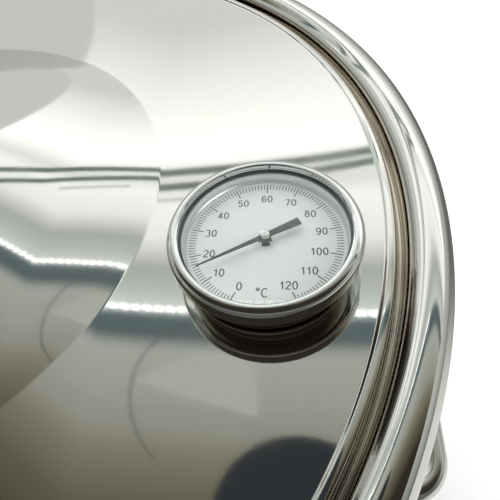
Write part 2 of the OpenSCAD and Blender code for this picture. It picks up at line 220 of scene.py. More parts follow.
def settle(obj: bpy.types.Object, place: Matrix) -> bpy.types.Object:
    """Moves a piece to its place and leaves its object at the origin.

    Args:
        obj: The piece, modelled round the origin.
        place: Where its own origin and axes go.

    Returns:
        The same object, with its place in its mesh.
    """
    clear_selection()
    obj.select_set(True)
    bpy.context.view_layer.objects.active = obj
    obj.matrix_world = place @ obj.matrix_world
    bpy.ops.object.transform_apply(location=True, rotation=True, scale=True)
    return obj


def facing(at: Vector, axis: Vector = UP) -> Matrix:
    """Returns the matrix that takes +Z at the origin to an axis at a place."""
    return Matrix.Translation(at) @ UP.rotation_difference(axis).to_matrix().to_4x4()


def turned(name: str, outline: Outline, steps: int = 96, angle: float = 32.0,
           sweep: float = 360.0) -> bpy.types.Object:
    """Models a turned piece: draws its outline by extrusion and spins it about +Z.

    Args:
        name: Name of the piece.
        outline: Its section.
        steps: How many steps the spin takes.
        angle: Edges sharper than this stay sharp, in degrees.
        sweep: How far the spin goes, in degrees.

    Returns:
        The piece, standing on the origin.
    """
    clear_selection()
    bpy.ops.mesh.primitive_plane_add(size=MM)
    obj = bpy.context.active_object
    obj.name = obj.data.name = name
    edit(obj)
    bpy.ops.mesh.select_mode(type="VERT")
    bpy.ops.mesh.select_all(action="SELECT")
    bpy.ops.mesh.merge(type="CENTER")
    r, z = outline.points[0]
    bpy.ops.transform.translate(value=(r * MM, 0, z * MM))
    for nr, nz in outline.points[1:]:
        step = ((nr - r) * MM, 0, (nz - z) * MM)
        bpy.ops.mesh.extrude_region_move(TRANSFORM_OT_translate={"value": step})
        r, z = nr, nz
    bpy.ops.mesh.select_all(action="SELECT")
    bpy.ops.mesh.spin(steps=steps, angle=-math.radians(sweep), center=(0, 0, 0), axis=(0, 0, 1))
    return finish_mesh(obj, angle)


class Bar:
    """A round bar modelled along a path of straight stretches and bends."""

    def __init__(self, name: str, radius: float, at: Vector, along: Vector, sides: int = 40) -> None:
        """Starts the bar with a circle.

        Args:
            name: Name of the piece.
            radius: Radius of the bar, in metres.
            at: Centre of its first end.
            along: Direction in which it sets out.
            sides: How many sides the circle has.
        """
        clear_selection()
        bpy.ops.mesh.primitive_circle_add(vertices=sides, radius=radius, fill_type="NOTHING")
        self.obj = bpy.context.active_object
        self.obj.name = self.obj.data.name = name
        settle(self.obj, facing(at, along))
        self.at, self.along = at.copy(), along.normalized()
        edit(self.obj)
        bpy.ops.mesh.select_all(action="SELECT")

    def straight(self, length: float, pieces: int = 1) -> "Bar":
        """Extrudes a straight stretch.

        Args:
            length: Its length, in metres.
            pieces: How many steps it is made in.

        Returns:
            The bar itself.
        """
        for _ in range(pieces):
            step = self.along * (length / pieces)
            bpy.ops.mesh.extrude_region_move(TRANSFORM_OT_translate={"value": tuple(step)})
            self.at += step
        return self

    def bend(self, radius: float, towards: Vector, degrees: float = 90.0, steps: int = 16) -> "Bar":
        """Spins the open end round a bend.

        Args:
            radius: Radius of the bend, in metres.
            towards: Direction from the bar's end to the bend's centre.
            degrees: How far the bar turns.
            steps: How many steps the bend has.

        Returns:
            The bar itself.
        """
        centre = self.at + towards.normalized() * radius
        axis = towards.cross(self.along).normalized()
        turn = math.radians(degrees)
        bpy.ops.mesh.spin(steps=steps, angle=turn, center=tuple(centre), axis=tuple(axis),
                          use_auto_merge=False)
        spun = Matrix.Rotation(-turn, 3, axis)
        self.at = centre + spun @ (self.at - centre)
        self.along = spun @ self.along
        return self

    def end(self) -> bpy.types.Object:
        """Caps both ends and returns the finished bar."""
        bpy.ops.mesh.select_mode(type="EDGE")
        bpy.ops.mesh.select_all(action="SELECT")
        bpy.ops.mesh.fill_holes(sides=0)
        return finish_mesh(self.obj)


def apply_modifier(obj: bpy.types.Object, kind: str, **settings: object) -> None:
    """Adds one modifier to an object and applies it.

    Args:
        obj: The object.
        kind: Type of the modifier.
        settings: Its values.
    """
    clear_selection()
    obj.select_set(True)
    bpy.context.view_layer.objects.active = obj
    modifier = obj.modifiers.new(kind.title(), kind)
    for key, value in settings.items():
        setattr(modifier, key, value)
    bpy.ops.object.modifier_apply(modifier=modifier.name)


def cut_with(obj: bpy.types.Object, tool: bpy.types.Object, how: str = "DIFFERENCE") -> None:
    """Cuts, joins or trims one piece with another, and removes the tool.

    Args:
        obj: The piece that stays.
        tool: The other piece.
        how: DIFFERENCE, UNION or INTERSECT.
    """
    apply_modifier(obj, "BOOLEAN", object=tool, operation=how, solver="EXACT")
    bpy.data.objects.remove(tool)


def copied(obj: bpy.types.Object, name: str, place: Matrix) -> bpy.types.Object:
    """Copies a finished piece, with its own mesh, to another place.

    Args:
        obj: The piece to copy.
        name: Name of the copy.
        place: The move from the piece to the copy.

    Returns:
        The copy.
    """
    clear_selection()
    obj.select_set(True)
    bpy.context.view_layer.objects.active = obj
    bpy.ops.object.duplicate(linked=False)
    twin = bpy.context.active_object
    twin.name = twin.data.name = name
    settle(twin, place)
    if place.to_3x3().determinant() < 0:
        finish_mesh(twin)
    return twin


def joined(name: str, pieces: Iterable[bpy.types.Object]) -> bpy.types.Object:
    """Joins several meshes into one piece.

    Args:
        name: Name of the piece.
        pieces: The meshes.

    Returns:
        The one piece.
    """
    clear_selection()
    pieces = list(pieces)
    for piece in pieces:
        piece.select_set(True)
    bpy.context.view_layer.objects.active = pieces[0]
    bpy.ops.object.join()
    obj = bpy.context.active_object
    obj.name = obj.data.name = name
    return obj


def hex_nut(name: str, across: float, height: float, bore: float, chamfer: float = 1.2) -> bpy.types.Object:
    """Models a hexagonal nut with turned chamfers.

    Args:
        name: Name of the piece.
        across: Width across its flats, in millimetres.
        height: Its height.
        bore: Radius of its bore.
        chamfer: Size of the chamfer at its corners.

    Returns:
        The nut, standing on the origin.
    """
    corner = across / 2 / math.cos(math.radians(30))
    blank = (Outline(bore, 0).to(across / 2 - 0.1, 0).to(corner + 0.2, chamfer * 0.6)
             .to(corner + 0.2, height - chamfer * 0.6).to(across / 2 - 0.1, height)
             .to(bore, height).close())
    nut = turned(name, blank, steps=60)
    clear_selection()
    bpy.ops.mesh.primitive_cylinder_add(vertices=6, radius=corner * MM, depth=height * MM * 1.2,
                                        location=(0, 0, height * MM / 2))
    cut_with(nut, bpy.context.active_object, "INTERSECT")
    return finish_mesh(nut, 20)


def domed_rivet(name: str, head_r: float, head: float, length: float = 2.0) -> bpy.types.Object:
    """Models a rivet with a domed head, its seat at the origin.

    Args:
        name: Name of the piece.
        head_r: Radius of the head, in millimetres.
        head: Height of the head.
        length: How much of the shank is shown below the seat.

    Returns:
        The rivet.
    """
    crown = head * 0.7
    ball = (head_r * head_r + crown * crown) / (2 * crown)
    tilt = math.degrees(math.asin(head_r / ball))
    outline = Outline(0, -length).to(head_r * 0.5, -length).to(head_r * 0.5, 0).to(head_r, 0)
    outline.to(head_r, head - crown).arc((0, head - ball), ball, 90 - tilt, 90, 7)
    return turned(name, outline, steps=40, angle=40)


# ---------------------------------------------------------------------------------------------
# finishes
# ---------------------------------------------------------------------------------------------

class NodeSheet:
    """Adds and wires shader nodes in one tree."""

    def __init__(self, tree: bpy.types.NodeTree) -> None:
        """Keeps the tree."""
        self.tree = tree

    def add(self, kind: str, inputs: Optional[dict] = None, **settings: object) -> bpy.types.Node:
        """Adds one node.

        Args:
            kind: The node's type name.
            inputs: Values or sockets for its inputs, by name or number.
            settings: The node's own options.

        Returns:
            The node.
        """
        node = self.tree.nodes.new(kind)
        for key, value in settings.items():
            setattr(node, key, value)
        for key, value in (inputs or {}).items():
            if isinstance(value, bpy.types.NodeSocket):
                self.tree.links.new(value, node.inputs[key])
            else:
                node.inputs[key].default_value = value
        return node

    def math(self, how: str, a: object, b: object = 0.0) -> bpy.types.NodeSocket:
        """Adds a Math node and returns its result."""
        return self.add("ShaderNodeMath", {0: a, 1: b}, operation=how).outputs[0]

    def spread(self, value: object, low: float, high: float) -> bpy.types.NodeSocket:
        """Maps a value between 0 and 1 to a range and returns the result."""
        return self.add("ShaderNodeMapRange", {0: value, 3: low, 4: high}).outputs[0]

    def noise(self, vector: object, scale: object, detail: float = 3.0,
              rough: float = 0.5) -> bpy.types.NodeSocket:
        """Adds a Noise Texture and returns its value."""
        return self.add("ShaderNodeTexNoise", {"Vector": vector, "Scale": scale, "Detail": detail,
                                               "Roughness": rough}).outputs[0]


class Effects:
    """Shader node groups that more than one finish uses, each built once."""

    _made: dict[str, bpy.types.NodeTree] = {}

    @classmethod
    def group(cls, name: str, floats: dict[str, float], outputs: Iterable[str],
              draw: Callable[[NodeSheet, bpy.types.Node, bpy.types.Node], None]) -> bpy.types.NodeTree:
        """Builds a node group the first time it is asked for.

        Args:
            name: Name of the group.
            floats: Its number inputs with their usual values, after the Vector input.
            outputs: Names of its outputs.
            draw: Fills the group between its input and output nodes.

        Returns:
            The group.
        """
        if name in cls._made:
            return cls._made[name]
        tree = bpy.data.node_groups.new(name, "ShaderNodeTree")
        tree.interface.new_socket("Vector", in_out="INPUT", socket_type="NodeSocketVector")
        for label, value in floats.items():
            socket = tree.interface.new_socket(label, in_out="INPUT", socket_type="NodeSocketFloat")
            socket.default_value = value
        for label in outputs:
            tree.interface.new_socket(label, in_out="OUTPUT", socket_type="NodeSocketFloat")
        sheet = NodeSheet(tree)
        draw(sheet, sheet.add("NodeGroupInput"), sheet.add("NodeGroupOutput"))
        cls._made[name] = tree
        return tree

    @classmethod
    def spun_grain(cls) -> bpy.types.NodeTree:
        """Fine rings round the vector's Z axis, as a lathe or a spinning tool leaves them."""
        def draw(s: NodeSheet, a: bpy.types.Node, z: bpy.types.Node) -> None:
            """Fills the group."""
            flat = s.add("ShaderNodeVectorMath", {0: a.outputs["Vector"], 1: (1, 1, 0)}, operation="MULTIPLY")
            radius = s.add("ShaderNodeVectorMath", {0: flat.outputs[0]}, operation="LENGTH").outputs["Value"]
            height = s.add("ShaderNodeSeparateXYZ", {0: a.outputs["Vector"]}).outputs[2]
            line = s.add("ShaderNodeCombineXYZ", {0: radius, 1: height})
            fine = s.noise(line.outputs[0], a.outputs["Lines"], 4.0, 0.7)
            drift = s.noise(a.outputs["Vector"], 30.0, 2.0)
            value = s.math("ADD", s.math("MULTIPLY", fine, 0.8), s.math("MULTIPLY", drift, 0.2))
            s.tree.links.new(value, z.inputs["Height"])
            s.tree.links.new(s.spread(fine, -0.4, 1.4), z.inputs["Mask"])
        return cls.group("spun_grain", {"Lines": 2500.0}, ("Height", "Mask"), draw)

    @classmethod
    def drawn_grain(cls) -> bpy.types.NodeTree:
        """Short fine lines along the vector's X axis, as a belt leaves them."""
        def draw(s: NodeSheet, a: bpy.types.Node, z: bpy.types.Node) -> None:
            """Fills the group."""
            slim = s.add("ShaderNodeVectorMath", {0: a.outputs["Vector"], 1: (0.04, 1, 1)},
                         operation="MULTIPLY")
            fine = s.noise(slim.outputs[0], a.outputs["Lines"], 3.0, 0.65)
            s.tree.links.new(fine, z.inputs["Height"])
            s.tree.links.new(s.spread(fine, -0.4, 1.4), z.inputs["Mask"])
        return cls.group("drawn_grain", {"Lines": 2200.0}, ("Height", "Mask"), draw)

    @classmethod
    def handling(cls) -> bpy.types.NodeTree:
        """Soft cloudy haze of wiped steel with a few drier patches."""
        def draw(s: NodeSheet, a: bpy.types.Node, z: bpy.types.Node) -> None:
            """Fills the group."""
            cloud = s.noise(a.outputs["Vector"], a.outputs["Scale"], 5.0, 0.6)
            wipe = s.add("ShaderNodeVectorMath", {0: a.outputs["Vector"], 1: (1, 0.25, 1)},
                         operation="MULTIPLY")
            streak = s.noise(wipe.outputs[0], s.math("MULTIPLY", a.outputs["Scale"], 6.0), 3.0)
            both = s.math("MULTIPLY", s.spread(cloud, -0.6, 1.6), s.spread(streak, 0.5, 1.4))
            clamp = s.add("ShaderNodeClamp", {0: both})
            s.tree.links.new(clamp.outputs[0], z.inputs["Haze"])
        return cls.group("handling", {"Scale": 14.0}, ("Haze",), draw)

    @classmethod
    def ripple(cls) -> bpy.types.NodeTree:
        """The slight waviness and the fine pebbling of rolled and buffed sheet."""
        def draw(s: NodeSheet, a: bpy.types.Node, z: bpy.types.Node) -> None:
            """Fills the group."""
            wave = s.noise(a.outputs["Vector"], a.outputs["Wave"], 1.0)
            pebble = s.noise(a.outputs["Vector"], a.outputs["Pebble"], 2.0)
            s.tree.links.new(wave, z.inputs["Wave"])
            s.tree.links.new(pebble, z.inputs["Pebble"])
        return cls.group("ripple", {"Wave": 16.0, "Pebble": 900.0}, ("Wave", "Pebble"), draw)


class Grain(Enum):
    """Which way the fine lines of a metal run."""
    SPUN = "spun_grain"
    DRAWN = "drawn_grain"


@dataclass(frozen=True)
class Place:
    """Where a pattern is centred and how it is turned."""
    at: tuple[float, float, float] = (0.0, 0.0, 0.0)
    turn: tuple[float, float, float] = (0.0, 0.0, 0.0)

    def vector(self, sheet: NodeSheet) -> bpy.types.NodeSocket:
        """Adds the nodes that give the pattern its place.

        Args:
            sheet: The material's nodes.

        Returns:
            The pattern's own coordinates, in metres.
        """
        coords = sheet.add("ShaderNodeTexCoord").outputs["Object"]
        mapping = sheet.add("ShaderNodeMapping",
                            {"Vector": coords, "Location": self.at, "Rotation": self.turn},
                            vector_type="TEXTURE")
        return mapping.outputs[0]


def open_material(name: str) -> tuple[bpy.types.Material, NodeSheet, bpy.types.Node]:
    """Makes an empty material with one Principled shader.

    Args:
        name: Name of the material.

    Returns:
        The material, its nodes and the shader node.
    """
    material = bpy.data.materials.new(name)
    material.use_nodes = True
    sheet = NodeSheet(material.node_tree)
    shader = next(n for n in material.node_tree.nodes if n.type == "BSDF_PRINCIPLED")
    return material, sheet, shader


@dataclass(frozen=True)
class Metal:
    """A bare metal: two close tones, fine lines, a wiped haze and a slight ripple."""
    name: str
    light: Colour
    dark: Colour
    roughness: float
    haze: float = 0.05
    grain: Grain = Grain.SPUN
    lines: float = 2500.0
    depth: float = 0.02
    wave: float = 0.0
    pebble: float = 0.0
    place: Place = Place()
    anisotropy: float = 0.0
    # Radii in mm of a band of painted shade in the lid's groove, and the tone it is painted in.
    gutter: tuple[float, float] | None = None
    gutter_tone: Colour = (0.60, 0.56, 0.50)

    def material(self) -> bpy.types.Material:
        """Builds the metal.

        Returns:
            The material.
        """
        material, s, shader = open_material(self.name)
        vector = self.place.vector(s)
        effects = {Grain.SPUN: Effects.spun_grain, Grain.DRAWN: Effects.drawn_grain}
        grain = s.add("ShaderNodeGroup", node_tree=effects[self.grain]())
        handling = s.add("ShaderNodeGroup", node_tree=Effects.handling())
        ripple = s.add("ShaderNodeGroup", node_tree=Effects.ripple())
        for node in (grain, handling, ripple):
            s.tree.links.new(vector, node.inputs["Vector"])
        grain.inputs["Lines"].default_value = self.lines
        tone = s.math("MULTIPLY", grain.outputs["Mask"], handling.outputs["Haze"])
        colour = s.add("ShaderNodeMix", {"Factor": tone, "A": (*self.light, 1), "B": (*self.dark, 1)},
                       data_type="RGBA")
        # Painted shade: the lid's groove is darkened in the colour, standing in for the dark wall that it
        # mirrors.
        if self.gutter:
            colour = self.dulled(s, vector, colour)
        s.tree.links.new(colour.outputs["Result"], shader.inputs["Base Color"])
        rough = s.math("ADD", s.math("MULTIPLY", handling.outputs["Haze"], self.haze), self.roughness)
        s.tree.links.new(rough, shader.inputs["Roughness"])
        shader.inputs["Metallic"].default_value = 1.0
        shader.inputs["Anisotropic"].default_value = self.anisotropy
        lines = s.add("ShaderNodeBump", {"Height": grain.outputs["Height"], "Strength": self.depth,
                                         "Distance": 0.0002})
        pebbles = s.add("ShaderNodeBump", {"Height": ripple.outputs["Pebble"], "Strength": self.pebble,
                                           "Distance": 0.0002, "Normal": lines.outputs[0]})
        waves = s.add("ShaderNodeBump", {"Height": ripple.outputs["Wave"], "Strength": self.wave,
                                         "Distance": 0.002, "Normal": pebbles.outputs[0]})
        s.tree.links.new(waves.outputs[0], shader.inputs["Normal"])
        return material

    def dulled(self, s: NodeSheet, vector: bpy.types.NodeSocket, colour: bpy.types.Node) -> bpy.types.Node:
        """Darkens the metal's colour in a band round the axis: painted shade in the lid's groove, which
        mirrors the dark wall across it.

        Args:
            s: The material's nodes.
            vector: The place in the piece.
            colour: The node with the metal's colour before the painted shade.

        Returns:
            The node with the darkened colour.
        """
        flat = s.add("ShaderNodeVectorMath", {0: vector, 1: (1, 1, 0)}, operation="MULTIPLY")
        r = s.add("ShaderNodeVectorMath", {0: flat.outputs[0]}, operation="LENGTH").outputs["Value"]
        edge = 0.0004
        start, stop = (at * MM for at in self.gutter)
        rise = s.add("ShaderNodeMapRange", {0: r, 1: start - edge, 2: start + edge, 3: 0.0, 4: 1.0},
                     interpolation_type="SMOOTHSTEP")
        fall = s.add("ShaderNodeMapRange", {0: r, 1: stop - edge, 2: stop + edge, 3: 1.0, 4: 0.0},
                     interpolation_type="SMOOTHSTEP")
        gutter_shade_mask = s.math("MULTIPLY", rise.outputs[0], fall.outputs[0])
        return s.add("ShaderNodeMix", {"Factor": gutter_shade_mask, "A": colour.outputs["Result"],
                                       "B": (*self.gutter_tone, 1)}, data_type="RGBA")


@dataclass(frozen=True)
class Moulded:
    """A rubber, plastic or painted finish with a fine texture and a little dust."""
    name: str
    colour: Colour
    worn: Colour
    roughness: float
    texture: float = 900.0
    depth: float = 0.1
    sheen: float = 0.0
    coat: float = 0.0
    through: float = 0.0

    def material(self) -> bpy.types.Material:
        """Builds the finish.

        Returns:
            The material.
        """
        material, s, shader = open_material(self.name)
        vector = Place().vector(s)
        handling = s.add("ShaderNodeGroup", {"Vector": vector, "Scale": 40.0}, node_tree=Effects.handling())
        ripple = s.add("ShaderNodeGroup", {"Vector": vector, "Pebble": self.texture},
                       node_tree=Effects.ripple())
        colour = s.add("ShaderNodeMix", {"Factor": handling.outputs["Haze"], "A": (*self.colour, 1),
                                         "B": (*self.worn, 1)}, data_type="RGBA")
        s.tree.links.new(colour.outputs["Result"], shader.inputs["Base Color"])
        rough = s.math("ADD", s.math("MULTIPLY", handling.outputs["Haze"], 0.12), self.roughness)
        s.tree.links.new(rough, shader.inputs["Roughness"])
        shader.inputs["Sheen Weight"].default_value = self.sheen
        shader.inputs["Coat Weight"].default_value = self.coat
        shader.inputs["Coat Roughness"].default_value = 0.1
        shader.inputs["Subsurface Weight"].default_value = self.through
        shader.inputs["Subsurface Radius"].default_value = (0.004, 0.004, 0.004)
        bump = s.add("ShaderNodeBump", {"Height": ripple.outputs["Pebble"], "Strength": self.depth,
                                        "Distance": 0.0003})
        s.tree.links.new(bump.outputs[0], shader.inputs["Normal"])
        return material


@dataclass(frozen=True)
class ClearGlass:
    """Flat window glass that lets shadow rays through, with faint dust."""
    name: str = "window_glass"

    def material(self) -> bpy.types.Material:
        """Builds the glass.

        Returns:
            The material.
        """
        material, s, shader = open_material(self.name)
        vector = Place().vector(s)
        dust = s.add("ShaderNodeGroup", {"Vector": vector, "Scale": 60.0}, node_tree=Effects.handling())
        s.tree.links.new(s.spread(dust.outputs["Haze"], 0.0, 0.012), shader.inputs["Roughness"])
        shader.inputs["Base Color"].default_value = (0.985, 0.995, 0.99, 1)
        shader.inputs["IOR"].default_value = 1.46
        shader.inputs["Transmission Weight"].default_value = 1.0
        path = s.add("ShaderNodeLightPath")
        s.tree.links.new(s.math("SUBTRACT", 1.0, path.outputs["Is Shadow Ray"]), shader.inputs["Alpha"])
        return material


class Shelf:
    """Every finish of the kettle, by the record's material slots."""

    def __init__(self, places: Places) -> None:
        """Builds the finishes.

        Args:
            places: Places from the frame, which centre the turned patterns.
        """
        dial = Place(at=tuple(places.dial))
        wall = Place(turn=(math.radians(90), 0, 0), at=tuple(places.tap))
        steel, grey = (0.80, 0.80, 0.775), (0.72, 0.715, 0.69)
        finishes = [
            Metal("pot_steel", steel, (0.66, 0.66, 0.64), 0.2, 0.1, lines=1600, depth=0.10, wave=0.05,
                  anisotropy=0.3),
            # The lid steel gets painted shade in its groove, between the two radii given in millimetres.
            Metal("lid_steel", (0.815, 0.815, 0.79), (0.76, 0.757, 0.73), 0.035, 0.03, lines=2400,
                  depth=0.006, wave=0.03, pebble=0.006, gutter=(169.8, 173.9)),
            Metal("bar_steel", steel, grey, 0.14, 0.08, Grain.DRAWN, depth=0.05),
            Metal("bracket_steel", (0.74, 0.74, 0.72), (0.62, 0.62, 0.6), 0.26, 0.1, Grain.DRAWN, depth=0.08),
            Metal("case_steel", (0.36, 0.31, 0.27), (0.29, 0.25, 0.21), 0.07, 0.03, lines=3000, depth=0.008,
                  place=dial),
            Metal("bezel_chrome", (0.86, 0.87, 0.87), (0.80, 0.81, 0.81), 0.05, 0.03, lines=3600, depth=0.012,
                  place=dial),
            Metal("bright_sleeve", (0.74, 0.77, 0.76), (0.62, 0.65, 0.64), 0.36, 0.08, lines=3000, depth=0.05,
                  place=dial),
            Metal("cap_nickel", (0.84, 0.84, 0.81), (0.74, 0.74, 0.71), 0.18, 0.06, lines=6000, depth=0.06,
                  place=dial),
            Metal("stem_steel", steel, grey, 0.16, 0.06, lines=2600, depth=0.04, place=dial),
            Metal("brass", (0.86, 0.66, 0.36), (0.66, 0.47, 0.22), 0.22, 0.12, lines=2600, depth=0.05,
                  place=dial),
            Metal("tap_steel", (0.76, 0.76, 0.74), (0.63, 0.63, 0.61), 0.2, 0.1, lines=2200, depth=0.06,
                  place=wall),
            ClearGlass("clear_glass"),
            Moulded("black_rubber", (0.018, 0.018, 0.018), (0.05, 0.05, 0.048), 0.5, depth=0.15),
            Moulded("seal_grey", (0.10, 0.11, 0.11), (0.15, 0.16, 0.16), 0.5, depth=0.08),
            Moulded("needle_black", (0.024, 0.03, 0.036), (0.045, 0.05, 0.056), 0.34, texture=2500,
                    depth=0.05, coat=0.15),
            Moulded("dial_ink", (0.035, 0.038, 0.042), (0.075, 0.078, 0.08), 0.55, texture=4000, depth=0.05),
            Moulded("dial_white", (0.62, 0.655, 0.635), (0.58, 0.615, 0.60), 0.5, texture=5000, depth=0.04),
            Moulded("dial_line", (0.42, 0.45, 0.45), (0.36, 0.39, 0.39), 0.45, texture=4000, depth=0.05),
            Moulded("silicone", (0.62, 0.60, 0.55), (0.52, 0.50, 0.46), 0.42, depth=0.08, through=0.15),
            Moulded("ptfe", (0.78, 0.78, 0.76), (0.68, 0.68, 0.66), 0.4, depth=0.05, through=0.1),
            Moulded("blue_vinyl", (0.012, 0.07, 0.32), (0.03, 0.11, 0.38), 0.3, texture=700, depth=0.12,
                    coat=0.35),
        ]
        self.materials = {finish.name: finish.material() for finish in finishes}

    def dress(self, obj: bpy.types.Object, finish: str) -> bpy.types.Object:
        """Puts a finish on a piece.

        Args:
            obj: The piece.
            finish: Name of the finish.

        Returns:
            The piece.
        """
        obj.data.materials.clear()
        obj.data.materials.append(self.materials[finish])
        return obj

    def dress_node(self, node: str) -> None:
        """Puts the finish of its record's slot on a CAD node that stays in view.

        Args:
            node: Name of the CAD node.
        """
        part = next(p for p in frame["record"]["subparts"] if p["node"] == node)
        for place in frame["nodes"][node].material_slots:
            place.material = self.materials[part["material_slot"]]


class Assembly:
    """What every sub-assembly shares: a body, the finishes and a way to hand pieces over."""

    body = "pot"

    def __init__(self, places: Places, shelf: Shelf) -> None:
        """Keeps the places and the finishes.

        Args:
            places: Places from the frame.
            shelf: The finishes.
        """
        self.places = places
        self.shelf = shelf

    def hand_over(self, obj: bpy.types.Object, finish: str, slot: str = "", body: str = "",
                  nodes: Iterable[str] = ()) -> bpy.types.Object:
        """Dresses a piece, says which body it rides on and which nodes it stands for.

        Args:
            obj: The finished piece.
            finish: Its finish.
            slot: The record's slot, where it isn't the finish's own name; not used.
            body: The body, where it isn't the assembly's own.
            nodes: CAD nodes that the piece replaces.

        Returns:
            The piece.
        """
        self.shelf.dress(obj, finish)
        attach(obj, body or self.body)
        if nodes:
            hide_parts(*nodes)
        log.info("%s: %d faces", obj.name, len(obj.data.polygons))
        return obj


# ---------------------------------------------------------------------------------------------
# lid
# ---------------------------------------------------------------------------------------------

def offset_side(path: list[Point], distance: float) -> list[Point]:
    """Moves a path sideways, to its left for a positive distance.

    Args:
        path: The middle line of a sheet.
        distance: How far.

    Returns:
        The moved path.
    """
    moved = []
    for i, (r, z) in enumerate(path):
        before, after = path[max(i - 1, 0)], path[min(i + 1, len(path) - 1)]
        dr, dz = after[0] - before[0], after[1] - before[1]
        size = math.hypot(dr, dz)
        moved.append((max(r - dz / size * distance, 0.0) if i else 0.0, z + dr / size * distance))
    return moved


def rounded(corners: list[tuple[float, float, float]], steps: int = 6) -> list[Point]:
    """Rounds the corners of a path.

    Args:
        corners: Points with the radius of each bend; the ends have none.
        steps: How many chords a bend has.

    Returns:
        The path's points.
    """
    path = [corners[0][:2]]
    for (ar, az, _), (br, bz, bend), (cr, cz, _) in zip(corners, corners[1:], corners[2:]):
        a, b, c = Vector((ar, az)), Vector((br, bz)), Vector((cr, cz))
        back, on = (a - b).normalized(), (c - b).normalized()
        half = back.angle(on) / 2
        run = bend / math.tan(half)
        centre = b + (back + on).normalized() * (bend / math.sin(half))
        first, last = b + back * run - centre, b + on * run - centre
        for i in range(steps + 1):
            way = first.lerp(last, i / steps).normalized() * bend
            path.append((centre.x + way.x, centre.y + way.y))
    path.append(corners[-1][:2])
    return path


@dataclass
class LidSizes:
    """Sizes of the lid, in millimetres, heights measured from the middle of its flat plate."""
    sheet: float = 0.8
    crease_r: float = 97.0
    dome_h: float = 6.2
    crease_bend: float = 8.0
    plate_r: float = 168.0
    ridge_h: float = 0.6
    ridge_out: float = 170.4
    groove_in: float = 171.0
    groove_r: float = 1.5
    groove_mid: float = -3.1
    wall_r: float = 174.0
    roll_r: float = 5.8
    roll_mid: float = -0.5
    hem_z: float = -7.0
    hem_r: float = 0.9
    bar_r: float = 4.5
    feet_apart: float = 92.0
    grip_h: float = 38.0
    grip_bend: float = 14.0
    foot_r: float = 15.0
    foot_t: float = 2.2
    rivet_x: float = 9.5


